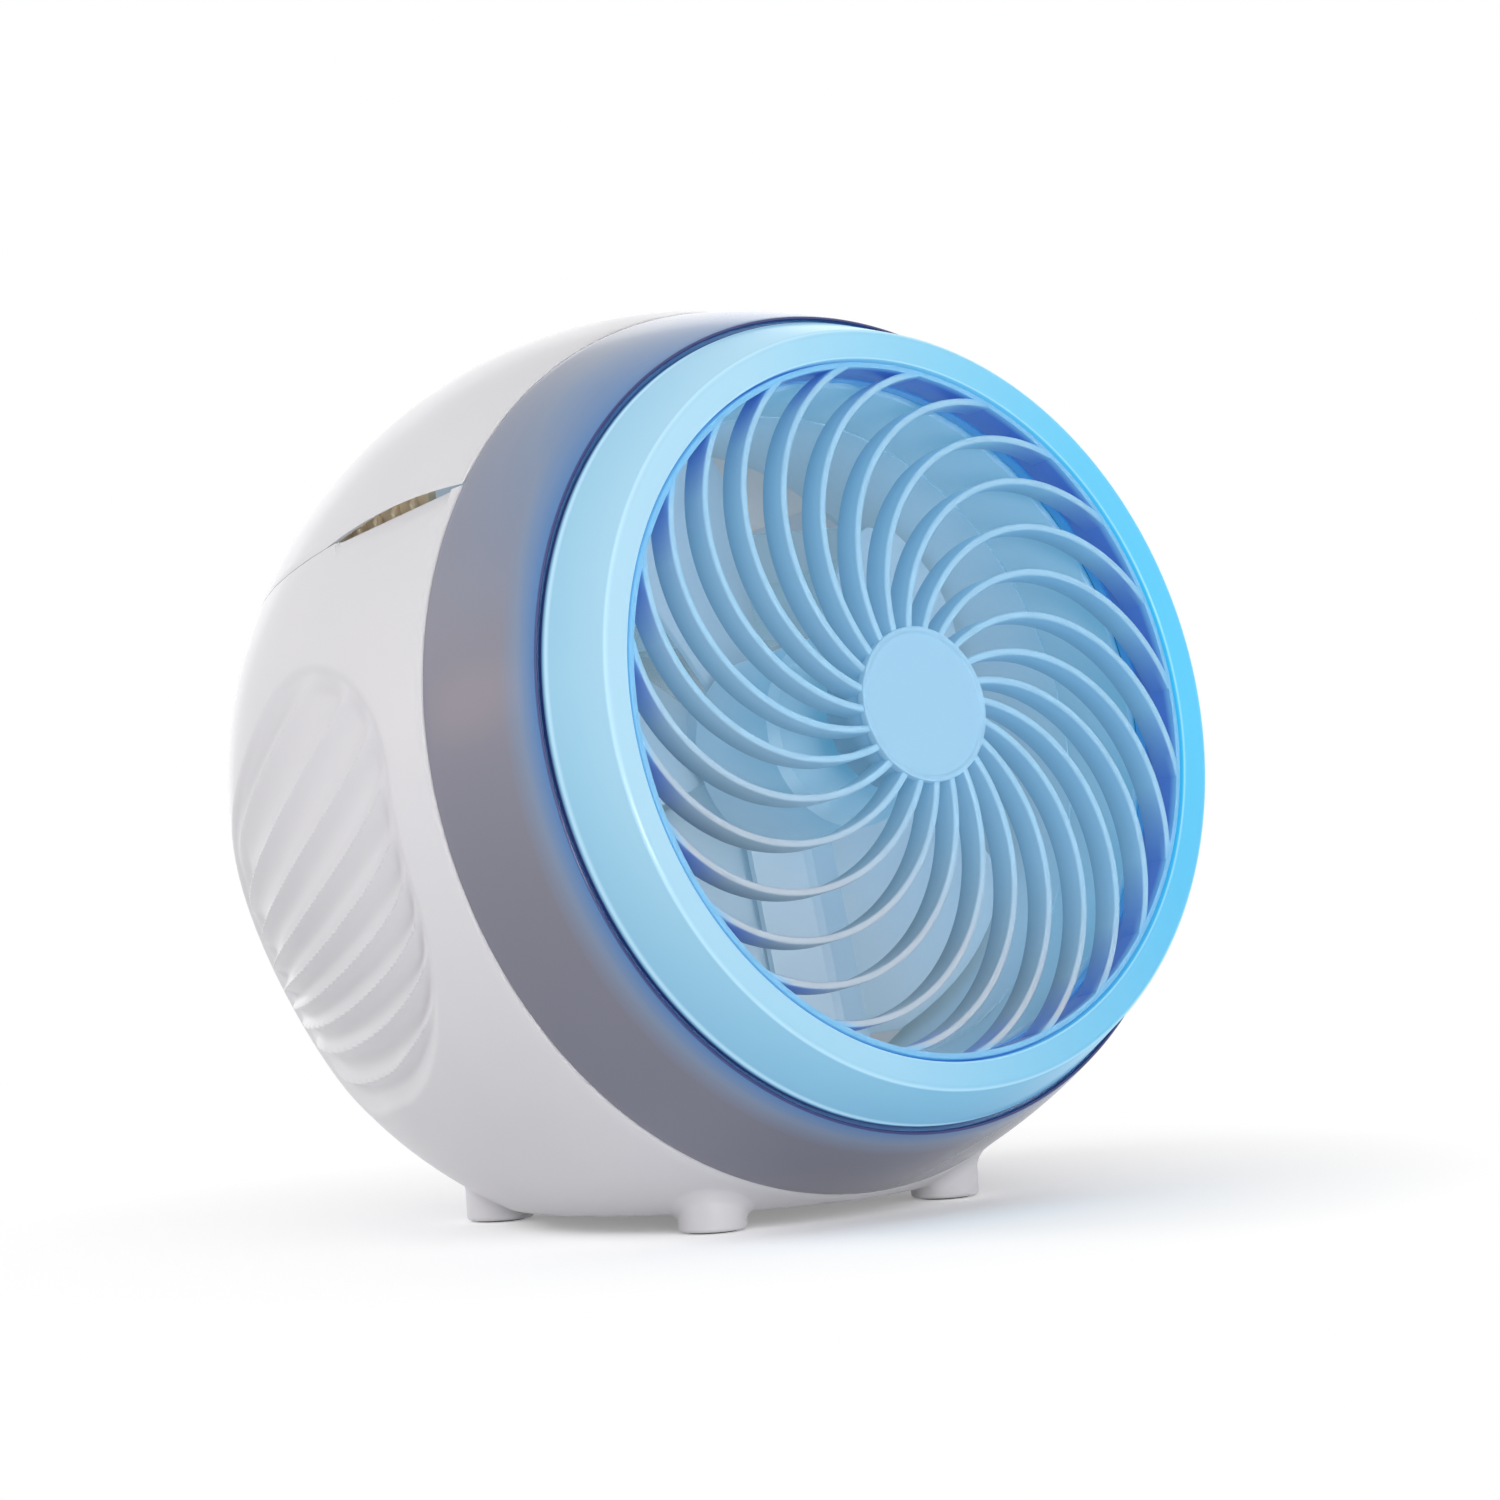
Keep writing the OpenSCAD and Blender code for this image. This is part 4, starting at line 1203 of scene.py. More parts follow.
# Lid's skirt, in millimetres: number of ribs, their width, overlap with the skirt's wall and
# rounding, the wall's thickness, and the gap under the lid
LINER_RIBS = 90
LINER_RIB_WIDTH = 0.9
RIB_OVERLAP = 0.2
RIB_ROUNDING = 0.25
LINER_WALL = 1.6
LINER_GAP = 0.1


def lid_liner():
    """Ribbed skirt inside the lid's edge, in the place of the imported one."""
    node = frame["nodes"]["lid_liner"]
    local = read_points(node.data) - MIDDLE
    height = local @ np.array(LID_AXIS)
    reach = np.linalg.norm(local - np.outer(height, LID_AXIS), axis=1)
    low, high = height.min(), height.max()
    inner, outer = reach.min(), reach.max()
    wall = inner + LINER_WALL * MM
    ring = spun("liner", [(inner, low), (wall, low), (wall, high), (inner, high)], LINER_STEPS)
    half = LINER_RIB_WIDTH * MM / 2
    rib = block("rib", (wall - RIB_OVERLAP * MM, -half, low), (outer, half, high))
    round_edges(rib, RIB_ROUNDING * MM, 2)
    piece = joined("lid_skirt", [ring] + copies_round(rib, even_turns(LINER_RIBS)))
    points = read_points(piece.data)
    limit = BALL_RADIUS - sizes().lid_wall - LINER_GAP * MM
    roof = np.sqrt(limit**2 - (points[:, :2] ** 2).sum(axis=1))
    points[:, 2] = np.minimum(points[:, 2], roof)
    write_points(piece.data, points)
    settle(piece, LID_FRAME)
    front = (local @ np.array(FAN_AXIS)).max()
    bisect(piece, CENTRE + FAN_AXIS * front, FAN_AXIS, use_fill=True, clear_outer=True)
    smooth(piece, 30)
    return dress(piece, finish("liner_cream"), "lid", "lid_liner", slot="cream_liner")


# Gap between lid and trim band, in millimetres, and the rounding of the lid's edges
LID_GAP = 0.3
LID_ROUNDING = 0.3


class COOLER_OT_lid(bpy.types.Operator):
    """Lift-off lid over the tank"""

    bl_idname = "cooler.lid"
    bl_label = "Lid"

    def execute(self, context):
        s = sizes()
        edge = BALL_RADIUS - s.lid_height
        inner = BALL_RADIUS - s.lid_wall
        outer_edge = math.degrees(math.asin(edge / BALL_RADIUS))
        inner_edge = math.degrees(math.asin(edge / inner))
        outline = arc((0, 0), BALL_RADIUS, 90, outer_edge, 40) + arc((0, 0), inner, inner_edge, 90, 24)
        piece = spun("lid_shell", outline, LID_STEPS)
        settle(piece, LID_FRAME)
        front = CENTRE + FAN_AXIS * (s.split - LID_GAP * MM)
        bisect(piece, front, FAN_AXIS, use_fill=True, clear_outer=True)
        for side in (-1, 1):
            cut_away(piece, arch_cutter(side))
        round_edges(piece, LID_ROUNDING * MM, 2, 50)
        smooth(piece, 32)
        dress(piece, finish("shell_white"), "lid", "lid", slot="white_shell")
        lid_liner()
        return {"FINISHED"}


# Trim band, in millimetres: width of its front lip; how far its flange for the lamps lies behind the
# front edge, how thick it is and how far it reaches inside the ring's mouth; and gap, thickness,
# length and shoulder of the tongue that goes into the housing
BAND_LIP = 0.5
FLANGE_SUNK = 1
FLANGE_THICKNESS = 2.1
FLANGE_INSIDE = 0.4
TONGUE_GAP = 0.3
TONGUE_THICKNESS = 1.9
TONGUE_LENGTH = 6.4
TONGUE_SHOULDER = 2
BAND_ROUNDING = 0.25


def band_profile():
    """Outline of the trim band: its slightly curved outside and the lips behind it."""
    s = sizes()
    p = Vector((split_radius(), s.split))
    q = Vector(band_front())
    chord = q - p
    lift = math.sqrt(s.band_curve**2 - (chord.length / 2) ** 2)
    centre = (p + q) / 2 + Vector((-chord.y, chord.x)).normalized() * lift
    start, end = (math.degrees(math.atan2(at.y - centre.y, at.x - centre.x)) for at in (p, q))
    outside = arc(centre, s.band_curve, start, end, 16)
    lip = q.x - BAND_LIP * MM
    flange_front = q.y - FLANGE_SUNK * MM
    flange_back = flange_front - FLANGE_THICKNESS * MM
    inside = ring_front()[1] - FLANGE_INSIDE * MM
    tongue = math.sqrt((BALL_RADIUS - s.wall) ** 2 - s.split**2) - TONGUE_GAP * MM
    tongue_inside = tongue - TONGUE_THICKNESS * MM
    tongue_end = s.split - TONGUE_LENGTH * MM
    return outside + [
        (lip, q.y),
        (lip, flange_front),
        (inside, flange_front),
        (inside, flange_back),
        (q.x - s.wall, flange_back),
        (tongue_inside, s.split + TONGUE_SHOULDER * MM),
        (tongue_inside, tongue_end),
        (tongue, tongue_end),
        (tongue, s.split),
    ]


class COOLER_OT_trim(bpy.types.Operator):
    """Glossy grey trim band in front of the housing"""

    bl_idname = "cooler.trim"
    bl_label = "Trim band"

    def execute(self, context):
        piece = spun("trim_band_shell", band_profile(), SHELL_STEPS)
        settle(piece, FAN_FRAME)
        round_edges(piece, BAND_ROUNDING * MM, 3, 40)
        smooth(piece, 30)
        dress(piece, finish("trim_grey"), "housing", "trim_band", slot="grey_trim")
        return {"FINISHED"}


def rounded_corner(a, b, c, radius, steps):
    """Points of an arc that rounds the corner b between a and c."""
    a, b, c = Vector(a), Vector(b), Vector(c)
    u, v = (a - b).normalized(), (c - b).normalized()
    half = u.angle(v) / 2
    middle = b + (u + v).normalized() * radius / math.sin(half)
    p, q = b + u * radius / math.tan(half) - middle, b + v * radius / math.tan(half) - middle
    start = math.atan2(p.y, p.x)
    sweep = (math.atan2(q.y, q.x) - start + math.pi) % math.tau - math.pi
    return arc(middle, radius, math.degrees(start), math.degrees(start + sweep), steps)


# Light ring, in millimetres: how far its flank goes into the band, the height of the shoulder on
# the flank, the bevel at the mouth; the collar that carries the grille, where it ends and its step
# to the wall; the thickness of the wall and of the crest; how far the channel ends behind the
# front; and the roundings of the three corners
RING_INSERT = 0.7
RING_SHOULDER = 1
MOUTH_BEVEL = (0.1, 0.4)
RING_COLLAR = 1.5
COLLAR_END = 1.7
COLLAR_STEP = 1
RING_WALL = 2.1
CHANNEL_END = 2.4
CREST_WALL = 1.2
SHOULDER_ROUNDING = 0.8
CREST_ROUNDING = 1.4
MOUTH_ROUNDING = 0.7


def ring_profile():
    """Outline of the light ring: flank, rounded crest, front face, mouth and channel behind them."""
    s = sizes()
    front_radius, front = band_front()
    crest, mouth, nose = ring_front()
    flank = front_radius - BAND_LIP * MM - s.groove
    rear = front - RING_INSERT * MM
    shoulder = (flank, front + RING_SHOULDER * MM)
    top = (crest, nose)
    lip = (mouth + MOUTH_BEVEL[0] * MM, nose - MOUTH_BEVEL[1] * MM)
    seat = grille_back() - GRILLE_GAP * MM
    collar = mouth - RING_COLLAR * MM
    collar_end = front + COLLAR_END * MM
    wall = RING_WALL * MM
    channel_end = nose - CHANNEL_END * MM
    return (
        [(flank, rear)]
        + rounded_corner((flank, rear), shoulder, top, SHOULDER_ROUNDING * MM, 4)
        + rounded_corner(shoulder, top, lip, CREST_ROUNDING * MM, 10)
        + rounded_corner(top, lip, (mouth, seat), MOUTH_ROUNDING * MM, 5)
        + [
            (mouth, seat),
            (collar, seat),
            (collar, collar_end),
            (mouth + wall - COLLAR_STEP * MM, collar_end),
            (mouth + wall, channel_end),
            (crest - CREST_WALL * MM, channel_end),
            (flank - wall, shoulder[1]),
            (flank - wall, rear),
        ]
    )


class COOLER_OT_ring(bpy.types.Operator):
    """Milky light ring round the grille"""

    bl_idname = "cooler.ring"
    bl_label = "Light ring"

    def execute(self, context):
        piece = spun("light_ring_lens", ring_profile(), SHELL_STEPS)
        settle(piece, FAN_FRAME)
        smooth(piece, 30)
        dress(piece, finish("ring_milk"), "housing", "light_ring", slot="light_guide")
        paint_nodes(led_board="board_green", lamps="lamp_resin")
        return {"FINISHED"}


# Grille, in millimetres: gap to the ring's mouth and seat; how far its rim lies behind the ring's
# front and its dome behind the disc's; width and rounding of the rim; how much narrower than the
# disc the hub is, how far it ends behind the dome, and its rounding; how far from the rim's edge
# the vanes end and how far they reach under the disc, and their rounding
GRILLE_GAP = 0.3
GRILLE_SUNK = 0.6
DOME_SUNK = 0.2
RIM_WIDTH = 1.1
RIM_ROUNDING = 0.3
HUB_INSET = 0.7
HUB_SUNK = 1.8
HUB_ROUNDING = 0.4
VANE_CLEAR = 0.5
VANE_UNDER_CAP = 1.2
VANE_ROUNDING = 0.4
# Number of vanes, turn of the first in degrees, and divisions along a vane and across it
VANE_COUNT = 24
VANE_TURN = -19
VANE_GRID = (44, 3)


def grille_edge():
    """Radius of the grille's rim."""
    return ring_front()[1] - GRILLE_GAP * MM


def grille_back():
    """Distance along the fan's axis of the grille's rear side."""
    return ring_front()[2] - GRILLE_SUNK * MM - sizes().grille_depth


def dome(radius):
    """Distance along the fan's axis of the grille's domed front at a radius."""
    s = sizes()
    bow = (grille_edge() ** 2 + s.grille_dome**2) / (2 * s.grille_dome)
    top = ring_front()[2] - GRILLE_SUNK * MM + s.grille_dome
    return top - DOME_SUNK * MM - bow + math.sqrt(bow**2 - radius**2)


def even_turns(count, first=0.0):
    """Angles that share a full turn evenly, from the first."""
    return [first + math.tau / count * i for i in range(count)]


def copies_round(piece, turns):
    """Copies of a piece, each with its own mesh, turned round Z by these angles; the piece goes."""
    copies = []
    for turn in turns:
        copy = piece.copy()
        copy.data = piece.data.copy()
        bpy.context.collection.objects.link(copy)
        settle(copy, Matrix.Rotation(turn, 4, "Z"))
        copies.append(copy)
    bpy.data.objects.remove(piece)
    return copies


def plate(name, divisions, place, thickness, rounding):
    """A thin plate, its point at (0 to 1, 0 to 1) put where place says, thickened and rounded."""
    deselect()
    bpy.ops.mesh.primitive_grid_add(x_subdivisions=divisions[0], y_subdivisions=divisions[1])
    piece = named(name)
    for vertex in piece.data.vertices:
        vertex.co = place((vertex.co.x + 1) / 2, (vertex.co.y + 1) / 2)
    finish_modifier(piece, "SOLIDIFY", thickness=thickness, offset=0)
    round_edges(piece, rounding * MM, 3, 50)
    return piece


def grille_vane():
    """One vane: a strip along its circle, raised to the dome."""
    s = sizes()
    edge = grille_edge()
    curve = (edge + s.vane_reach) / 2
    start = 2 * math.acos((edge - VANE_CLEAR * MM) / (2 * curve))
    end = 2 * math.acos((s.cap_radius - VANE_UNDER_CAP * MM) / (2 * curve))

    def place(along, up):
        a = start + (end - start) * along
        x, y = curve + curve * math.cos(a), curve * math.sin(a)
        return x, y, dome(math.hypot(x, y)) - s.vane_depth * (1 - up)

    return plate("vane", VANE_GRID, place, s.vane_thickness, VANE_ROUNDING)


class COOLER_OT_grille(bpy.types.Operator):
    """Swirl grille with its rim, hub and bare middle disc"""

    bl_idname = "cooler.grille"
    bl_label = "Swirl grille"

    def execute(self, context):
        edge, back = grille_edge(), grille_back()
        vanes = copies_round(grille_vane(), even_turns(VANE_COUNT, math.radians(VANE_TURN)))
        inner = edge - RIM_WIDTH * MM
        outline = [(edge, back), (edge, dome(edge)), (inner, dome(inner)), (inner, back)]
        rim = spun("rim", outline, RIM_STEPS)
        round_edges(rim, RIM_ROUNDING * MM, 2)
        radius = sizes().cap_radius - HUB_INSET * MM
        front = dome(0) - HUB_SUNK * MM
        hub = spun("hub", [(0, back), (radius, back), (radius, front), (0, front)], HUB_STEPS)
        round_edges(hub, HUB_ROUNDING * MM, 2)
        piece = joined("swirl_grille", [rim, hub] + vanes)
        settle(piece, FAN_FRAME)
        smooth(piece, 40)
        dress(piece, finish("grille_pale"), "housing", "front_grille", slot="pale_grille")
        return {"FINISHED"}


# Middle disc, in millimetres: how far it stands before the dome, its thickness and rounding, its lip
# as steps in from the edge and down, and the depth of its face half way in and in the middle
CAP_PROUD = 0.2
CAP_THICKNESS = 1.6
CAP_ROUNDING = 0.2
CAP_LIP = ((0.8, 0), (1.1, 0.35))
CAP_HOLLOW = (0.28, 0.25)


class COOLER_OT_cap(bpy.types.Operator):
    """Bare disc with a fine raised lip in front of the grille's hub"""

    bl_idname = "cooler.cap"
    bl_label = "Middle disc"

    def execute(self, context):
        r = sizes().cap_radius
        top = dome(0) + CAP_PROUD * MM
        back = top - CAP_THICKNESS * MM
        lip = [(r - inwards * MM, top - down * MM) for inwards, down in CAP_LIP]
        face = [(radius, top - down * MM) for radius, down in zip((r / 2, 0), CAP_HOLLOW)]
        piece = spun("grille_disc", [(0, back), (r, back), (r, top)] + lip + face, DISC_STEPS)
        settle(piece, FAN_FRAME)
        round_edges(piece, CAP_ROUNDING * MM, 3, 25)
        smooth(piece, 30)
        dress(piece, finish("grille_pale"), "housing", "grille_cap", slot="pale_grille")
        return {"FINISHED"}


# Duct, in millimetres: gap to the ring's collar, how much it narrows, how far it goes in front of
# the band's front edge, its wall, length, rounding and the wall's growth towards the rear
DUCT_GAP = 0.8
DUCT_TAPER = 1.6
DUCT_PROUD = 1
DUCT_WALL = 1.5
DUCT_LENGTH = 15
DUCT_ROUNDING = 0.3
DUCT_THICKER = 0.2


def duct_sizes():
    """Radius and distance of the duct's front, and radius of its rear and of the shroud."""
    front = ring_front()[1] - RING_COLLAR * MM - DUCT_GAP * MM
    return front, band_front()[1] + DUCT_PROUD * MM, front - DUCT_TAPER * MM


class COOLER_OT_duct(bpy.types.Operator):
    """Air duct: front cone, fan shroud with bulkhead, and the strut with the motor's cup"""

    bl_idname = "cooler.duct"
    bl_label = "Duct"

    def execute(self, context):
        wall = DUCT_WALL * MM
        radius, front, narrow = duct_sizes()
        rear = front - DUCT_LENGTH * MM
        rear_outside = (narrow + wall + DUCT_THICKER * MM, rear)
        outline = [(radius, front), (radius + wall, front), rear_outside, (narrow, rear)]
        duct = spun("duct_cone", outline, RIM_STEPS)
        settle(duct, FAN_FRAME)
        round_edges(duct, DUCT_ROUNDING * MM, 2)
        smooth(duct)
        dress(duct, finish("inner_white"), "housing", "inner_duct", slot="white_inner")
        paint_nodes(fan_shroud="inner_white", motor_bracket="inner_white")
        paint_nodes(fan_motor="steel", motor_shaft="steel")
        return {"FINISHED"}


# Fan, in millimetres along its axis from the ball's centre: where its hub begins and how long,
# wide and rounded it is, and the radius of its shaft
FAN_FRONT = 18.4
FAN_LENGTH = 14
FAN_HUB = 14
HUB_NOSE = 1.5
HUB_CHAMFER = 0.4
SHAFT_RADIUS = 1.5
# Blades: number, thickness, radius of the camber and how far under its crest a blade's middle lies,
# pitch and span in degrees, overlap with the hub, gap at the tip and to the hub's rear, width of
# the rounded corners at the tip and the share of the length at which they begin, rounding, and
# divisions across and along a blade
BLADE_COUNT = 5
BLADE_THICKNESS = 1.5
BLADE_CURVE = 46
BLADE_CREST = 4
BLADE_PITCH = 24
BLADE_SPAN = 66
BLADE_OVERLAP = 0.5
TIP_GAP = 1.6
REAR_GAP = 0.4
TIP_CORNER = 7
TIP_FROM = 0.75
BLADE_ROUNDING = 0.45
BLADE_GRID = (28, 14)


def fan_blade():
    """One cambered blade with rounded tip corners, along Y from the hub."""
    hub, tip = (FAN_HUB - BLADE_OVERLAP) * MM, duct_sizes()[2] - TIP_GAP * MM
    rear = (FAN_FRONT - FAN_LENGTH) * MM
    curve = (BLADE_CURVE - BLADE_THICKNESS / 2) * MM
    pitch = math.radians(BLADE_PITCH)
    middle = (FAN_FRONT - FAN_LENGTH / 2) * MM
    arm = (BLADE_CURVE - BLADE_CREST) * MM
    axle = Vector((-arm * math.sin(pitch), middle - arm * math.cos(pitch)))
    low = axle.x + math.sqrt(curve**2 - (rear + REAR_GAP * MM - axle.y) ** 2)

    def place(across, out):
        radius = hub + (tip - hub) * out
        half = radius * math.sin(math.radians(BLADE_SPAN / 2))
        beyond = max(0, (out - TIP_FROM) / (1 - TIP_FROM))
        corner = TIP_CORNER * MM * (1 - math.sqrt(max(0, 1 - beyond**2)))
        left, right = corner - half, min(half, low) - corner
        x = left + (right - left) * across
        return x, math.sqrt(radius**2 - x**2), axle.y + math.sqrt(curve**2 - (x - axle.x) ** 2)

    return plate("blade", BLADE_GRID, place, BLADE_THICKNESS * MM, BLADE_ROUNDING)


class COOLER_OT_fan(bpy.types.Operator):
    """Impeller with five cambered blades"""

    bl_idname = "cooler.fan"
    bl_label = "Fan"

    def execute(self, context):
        hub, bore = FAN_HUB * MM, SHAFT_RADIUS * MM
        rear, front = (FAN_FRONT - FAN_LENGTH) * MM, FAN_FRONT * MM
        r, cut = HUB_NOSE * MM, HUB_CHAMFER * MM
        nose = arc((hub - r, front - r), r, 0, 90, 6)
        outline = [(bore, rear), (hub - cut, rear), (hub, rear + cut)] + nose + [(bore, front)]
        middle = spun("fan_hub", outline, HUB_STEPS)
        blades = copies_round(fan_blade(), even_turns(BLADE_COUNT))
        piece = joined("fan_rotor", [middle] + blades)
        settle(piece, FAN_FRAME)
        smooth(piece, 40)
        dress(piece, finish("inner_white"), "fan", "fan_impeller", slot="white_inner")
        return {"FINISHED"}


# Buttons, in millimetres: height of the flange inside the panel, rounding of the edge, how far in
# from the edge the dished face begins, and its depth there, half way in and in the middle
BUTTON_FLANGE = 1
BUTTON_ROUNDING = 0.6
BUTTON_INSET = 1.1
BUTTON_DISH = (0.05, 0.3, 0.38)


def push_button(name):
    """Round button with a soft edge and a dished face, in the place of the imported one."""
    node = frame["nodes"][name]
    local = read_points(node.data) - MIDDLE
    height = local @ np.array(PANEL_AXIS)
    low, high = height.min(), height.max()
    across = (local[:, 0].min() + local[:, 0].max()) / 2
    flange = (local[:, 0].max() - local[:, 0].min()) / 2
    r, corner = sizes().button_radius, BUTTON_ROUNDING * MM
    step = low + BUTTON_FLANGE * MM
    dish = zip((r - BUTTON_INSET * MM, r / 2, 0), BUTTON_DISH)
    outline = (
        [(0, low), (flange, low), (flange, step), (r, step)]
        + arc((r - corner, high - corner), corner, 0, 90, 6)
        + [(radius, high - down * MM) for radius, down in dish]
    )
    piece = spun(name + "_key", outline, BUTTON_STEPS)
    settle(piece, PANEL_FRAME @ Matrix.Translation((across, 0, 0)))
    smooth(piece, 40)
    dress(piece, finish("button_grey"), name, name, slot="button_grey")


# Rear intake, in millimetres: how far its outer and inner side lie under the ball, gap round it,
# first slot, width and pitch of the slots, closed edge, spokes, rounding, and how far from the
# ball's centre the cutters of the slots and of the spokes between them begin and end
INTAKE_SIDES = (0.2, 2.7)
INTAKE_GAP = 0.25
SLOT_START = 3.2
SLOT_WIDTH = 2.4
SLOT_PITCH = 4.4
INTAKE_EDGE = 1
SPOKE_COUNT = 6
SPOKE_WIDTH = 2
INTAKE_ROUNDING = 0.35
SLOT_CUT = (-100, -50)
SPOKE_CUT = (-110, -40)


def intake_slot(first, last, rim):
    """Cutter of a round slot between two radii, with gaps where the spokes stay."""
    far, near = (distance * MM for distance in SLOT_CUT)
    slot = spun("slot", [(first, far), (last, far), (last, near), (first, near)], INTAKE_STEPS)
    half = SPOKE_WIDTH / 2 * MM
    far, near = (distance * MM for distance in SPOKE_CUT)
    for turn in even_turns(SPOKE_COUNT)[: SPOKE_COUNT // 2]:
        spoke = block("spoke", (-half, -rim, far), (half, rim, near))
        settle(spoke, Matrix.Rotation(turn, 4, "Z"))
        cut_away(slot, spoke)
    return slot


def intake_grille():
    """Domed rear grille: rings and spokes with rounded edges, flush with the ball."""
    outer, inner = (BALL_RADIUS - depth * MM for depth in INTAKE_SIDES)
    rim = sizes().intake_radius - INTAKE_GAP * MM
    turn = [math.degrees(math.asin(rim / radius)) for radius in (outer, inner)]
    outline = arc((0, 0), outer, -90, turn[0] - 90, 36) + arc((0, 0), inner, turn[1] - 90, -90, 36)
    piece = spun("intake", outline, INTAKE_STEPS)
    first = SLOT_START * MM
    while first + SLOT_WIDTH * MM < rim - INTAKE_EDGE * MM:
        cut_away(piece, intake_slot(first, first + SLOT_WIDTH * MM, rim))
        first += SLOT_PITCH * MM
    settle(piece, FAN_FRAME)
    round_edges(piece, INTAKE_ROUNDING * MM, 2, 50)
    smooth(piece, 35)
    dress(piece, finish("shell_white"), "housing", "rear_grille", slot="white_shell")


# Rounding of a foot's pad, in millimetres
PAD_ROUNDING = 0.3


class COOLER_OT_rear(bpy.types.Operator):
    """Rear intake grille, buttons, socket and foot pads"""

    bl_idname = "cooler.rear"
    bl_label = "Rear and feet"

    def execute(self, context):
        intake_grille()
        paint_nodes(control_board="board_green", tact_switches="switch_black", usb_socket="steel")
        for name in ("button_power", "button_light"):
            push_button(name)
        for name, place, radius, height in foot_places():
            outline = [(0, 0), (radius, 0), (radius, height), (0, height)]
            pad = spun(name + "_rubber", outline, PAD_STEPS)
            settle(pad, Matrix.Translation((place.x, place.y, TABLE_HEIGHT)))
            round_edges(pad, PAD_ROUNDING * MM, 3)
            smooth(pad)
            dress(pad, finish("pad_rubber"), "housing", name, slot="foot_rubber")
        return {"FINISHED"}


class COOLER_OT_inside(bpy.types.Operator):
    """Tank, valve and filter, which show when the lid is lifted"""

    bl_idname = "cooler.inside"
    bl_label = "Inside"

    def execute(self, context):
        paint_nodes(water_tank="tank_clear", drip_valve="seal_rubber")
        paint_nodes(filter_frame="filter_grey", filter_pad="filter_paper")
        return {"FINISHED"}


# Camera, as fitted to the outlines in the photograph: angles in degrees, distance in metres, lens
# and sensor in millimetres, and the place of the ball's centre in the picture
VIEW_TURN = -40.19
VIEW_RISE = 2.5
VIEW_ROLL = -3.61
VIEW_DISTANCE = 1.5
VIEW_LENS = 204.1
SENSOR_WIDTH = 36
FRAME_PIXELS = 1500
BALL_PIXEL = (696.96, 779.65)


def add_camera():
    """The camera that sees the object as the photograph does."""
    turn, rise, roll = (math.radians(angle) for angle in (VIEW_TURN, VIEW_RISE, VIEW_ROLL))
    flat = math.cos(rise)
    back = Vector((math.sin(turn) * flat, -math.cos(turn) * flat, math.sin(rise)))
    level = Vector((math.cos(turn), math.sin(turn), 0))
    upright = back.cross(level)
    right = math.cos(roll) * level + math.sin(roll) * upright
    up = -math.sin(roll) * level + math.cos(roll) * upright
    pixel = VIEW_DISTANCE * SENSOR_WIDTH / VIEW_LENS / FRAME_PIXELS
    across, down = (FRAME_PIXELS / 2 - place for place in BALL_PIXEL)
    bpy.ops.object.camera_add()
    camera = bpy.context.object
    camera.name = "photo_camera"
    camera.data.sensor_width = SENSOR_WIDTH
    camera.data.lens = VIEW_LENS
    matrix = Matrix((right, up, back)).transposed().to_4x4()
    matrix.translation = CENTRE + back * VIEW_DISTANCE + (right * across - up * down) * pixel
    camera.matrix_world = matrix
    bpy.context.scene.camera = camera


# Studio lamps: name, place, where they point, width in metres and power in watts, with what sets a
# lamp apart from the others
LAMPS = (
    ("key", (-0.82, 0.72, 0.68), CENTRE, 0.5, 5.4, {"mirrored": False}),
    ("front", (-0.3, -1.05, 0.6), CENTRE, 1.1, 3.4, {}),
    ("back", (0.6, 1.0, 0.3), CENTRE, 0.8, 1.0, {}),
    ("fill", (0.9, -0.8, 0.4), CENTRE, 1.2, 1.5, {}),
    ("low", (-0.5, -1.1, 0.03), (0, 0, 0.01), 0.4, 0.21, {"spread": 30}),
    ("warm", CENTRE + Vector((-0.88, 0.37, 0.28)), CENTRE, 0.28, 0.24, {"colour": (1, 0.62, 0.42)}),
)


def area_light(name, place, target, width, power, colour=WHITE, spread=180, mirrored=True):
    """A round lamp; its spread is in degrees, and gloss shows it where it is mirrored."""
    bpy.ops.object.light_add(type="AREA", location=place)
    light = bpy.context.object
    light.name = name
    light.data.shape = "DISK"
    light.data.size = width
    light.data.energy = power
    light.data.color = colour
    light.data.spread = math.radians(spread)
    light.visible_glossy = mirrored
    light.rotation_mode = "QUATERNION"
    light.rotation_quaternion = (Vector(target) - Vector(place)).to_track_quat("-Z", "Y")


def seen_plainly(tree):
    """1 for the camera's rays and for what gloss and glass show, 0 for light that bounces."""
    path = tree.nodes.new("ShaderNodeLightPath")
    seen = path.outputs["Is Camera Ray"]
    for ray in ("Is Glossy Ray", "Is Transmission Ray"):
        either = tree.nodes.new("ShaderNodeMath")
        either.operation = "MAXIMUM"
        tree.links.new(seen, either.inputs[0])
        tree.links.new(path.outputs[ray], either.inputs[1])
        seen = either.outputs[0]
    return seen


def combined(tree, kind, *sources):
    """A node of this kind whose inputs are fed in order; gives its output."""
    node = tree.nodes.new(kind)
    for source, target in zip(sources, node.inputs):
        tree.links.new(source, target)
    return node.outputs[0]


def glowing(node, colour, strength):
    """Sets the colour and strength of what a node gives off; gives its output."""
    node.inputs["Color"].default_value = (*colour, 1)
    node.inputs["Strength"].default_value = strength
    return node.outputs[0]


# Floor and sky: radius of the floor in metres, how much light it gives off besides the lamps', the
# distances in millimetres between which its shaded ground goes over into plain white, and the
# sky's colour and strength as light
FLOOR_RADIUS = 3
FLOOR_SIDES = 96
FLOOR_VEIL = 0.22
SHADOW_REACH = (55, 140)
SKY_COLOUR = (0.97, 0.975, 1.0)
SKY_STRENGTH = 0.42


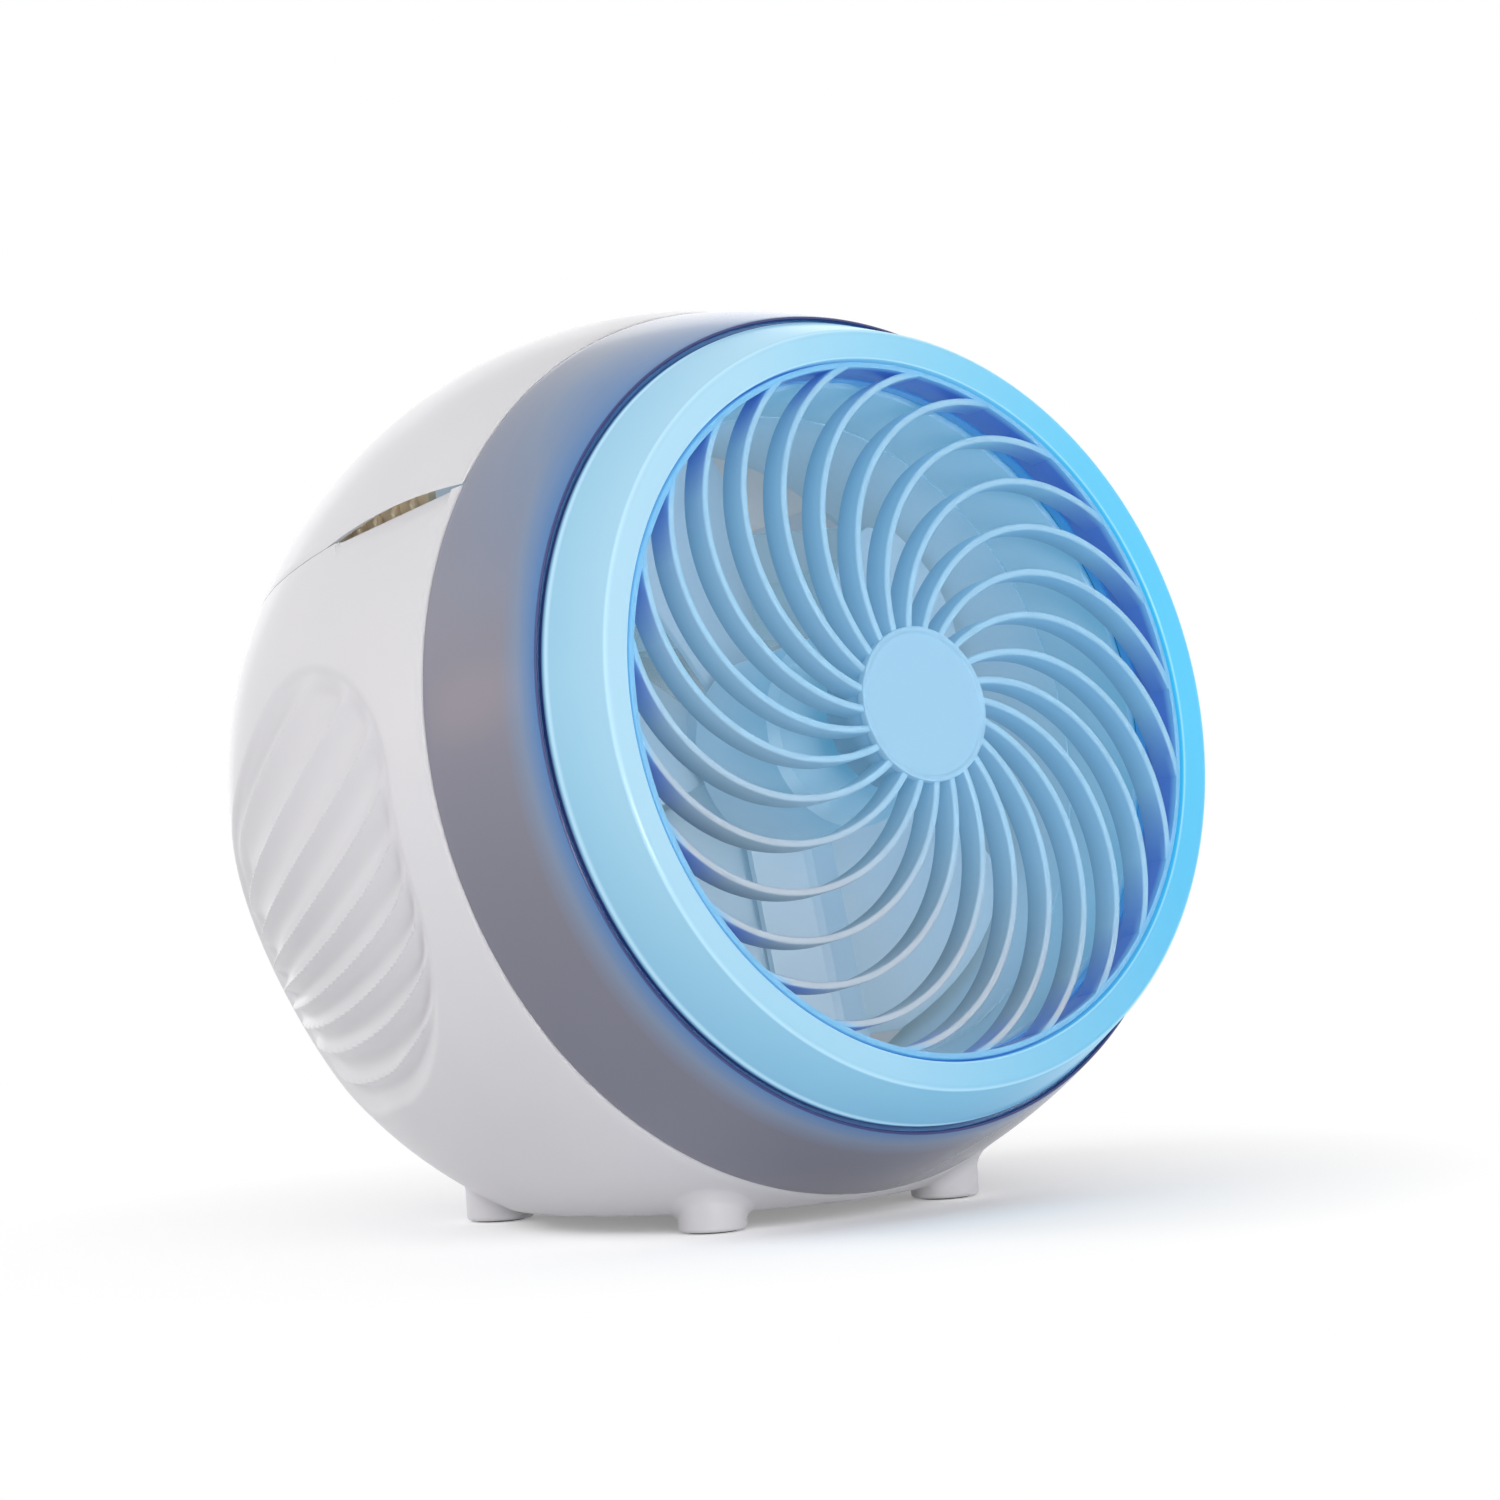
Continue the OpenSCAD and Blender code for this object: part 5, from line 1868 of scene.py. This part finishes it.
def floor_pale(name):
    """White where it is lit, with the object's soft shadow, and pure white further out."""
    m = Shader(name)
    m.set(Base_Color=(0.8, 0.8, 0.82), Roughness=0.9)
    lit = m.add("ShaderNodeBsdfDiffuse")
    m.link((0.98, 0.98, 0.98), lit.inputs["Color"])
    veil = glowing(m.add("ShaderNodeEmission"), WHITE, FLOOR_VEIL)
    near = combined(m.tree, "ShaderNodeAddShader", lit.outputs[0], veil)
    white = glowing(m.add("ShaderNodeEmission"), WHITE, 1.0)
    distance = m.vector("LENGTH", m.coords)["Value"]
    far = m.span(distance, 0, SHADOW_REACH)
    shown = combined(m.tree, "ShaderNodeMixShader", far, near, white)
    seen = seen_plainly(m.tree)
    surface = combined(m.tree, "ShaderNodeMixShader", seen, m.body.outputs[0], shown)
    m.link(surface, m.tree.nodes["Material Output"].inputs["Surface"])
    return m.material


def add_sky():
    """Pale sky that lights the object and is pure white to the camera."""
    world = bpy.data.worlds.new("studio")
    bpy.context.scene.world = world
    world.use_nodes = True
    tree = world.node_tree
    soft = glowing(tree.nodes["Background"], SKY_COLOUR, SKY_STRENGTH)
    white = glowing(tree.nodes.new("ShaderNodeBackground"), WHITE, 1.0)
    surface = combined(tree, "ShaderNodeMixShader", seen_plainly(tree), soft, white)
    tree.links.new(surface, tree.nodes["World Output"].inputs["Surface"])


class COOLER_OT_stage(bpy.types.Operator):
    """Pale floor, soft studio lamps and the camera"""

    bl_idname = "cooler.stage"
    bl_label = "Stage"

    def execute(self, context):
        deselect()
        bpy.ops.mesh.primitive_circle_add(
            vertices=FLOOR_SIDES,
            radius=FLOOR_RADIUS,
            fill_type="NGON",
            location=(0, 0, TABLE_HEIGHT),
        )
        floor = named("floor")
        floor.data.materials.append(floor_pale("floor_pale"))
        add_camera()
        add_sky()
        for *lamp, apart in LAMPS:
            area_light(*lamp, **apart)
        context.scene.view_settings.view_transform = "Standard"
        return {"FINISHED"}


class COOLER_PT_panel(bpy.types.Panel):
    """Lists the pieces that can be made"""

    bl_idname = "COOLER_PT_panel"
    bl_label = "Mini air cooler"
    bl_space_type = "VIEW_3D"
    bl_region_type = "UI"
    bl_category = "Cooler"

    def draw(self, context):
        for operator in OPERATORS:
            self.layout.operator(operator.bl_idname)


OPERATORS = (
    COOLER_OT_housing,
    COOLER_OT_lid,
    COOLER_OT_trim,
    COOLER_OT_ring,
    COOLER_OT_grille,
    COOLER_OT_cap,
    COOLER_OT_duct,
    COOLER_OT_fan,
    COOLER_OT_rear,
    COOLER_OT_inside,
    COOLER_OT_stage,
)
CLASSES = (CoolerSizes, CoolerColours, *OPERATORS, COOLER_PT_panel)


def register():
    for item in CLASSES:
        bpy.utils.register_class(item)
    bpy.types.Scene.cooler_sizes = bpy.props.PointerProperty(type=CoolerSizes)
    bpy.types.Scene.cooler_colours = bpy.props.PointerProperty(type=CoolerColours)


def unregister():
    del bpy.types.Scene.cooler_colours
    del bpy.types.Scene.cooler_sizes
    for item in reversed(CLASSES):
        bpy.utils.unregister_class(item)


def main():
    register()
    bpy.ops.cooler.housing()
    bpy.ops.cooler.lid()
    bpy.ops.cooler.trim()
    bpy.ops.cooler.ring()
    bpy.ops.cooler.grille()
    bpy.ops.cooler.cap()
    bpy.ops.cooler.duct()
    bpy.ops.cooler.fan()
    bpy.ops.cooler.rear()
    bpy.ops.cooler.inside()
    bpy.ops.cooler.stage()


if __name__ == "__main__":
    main()
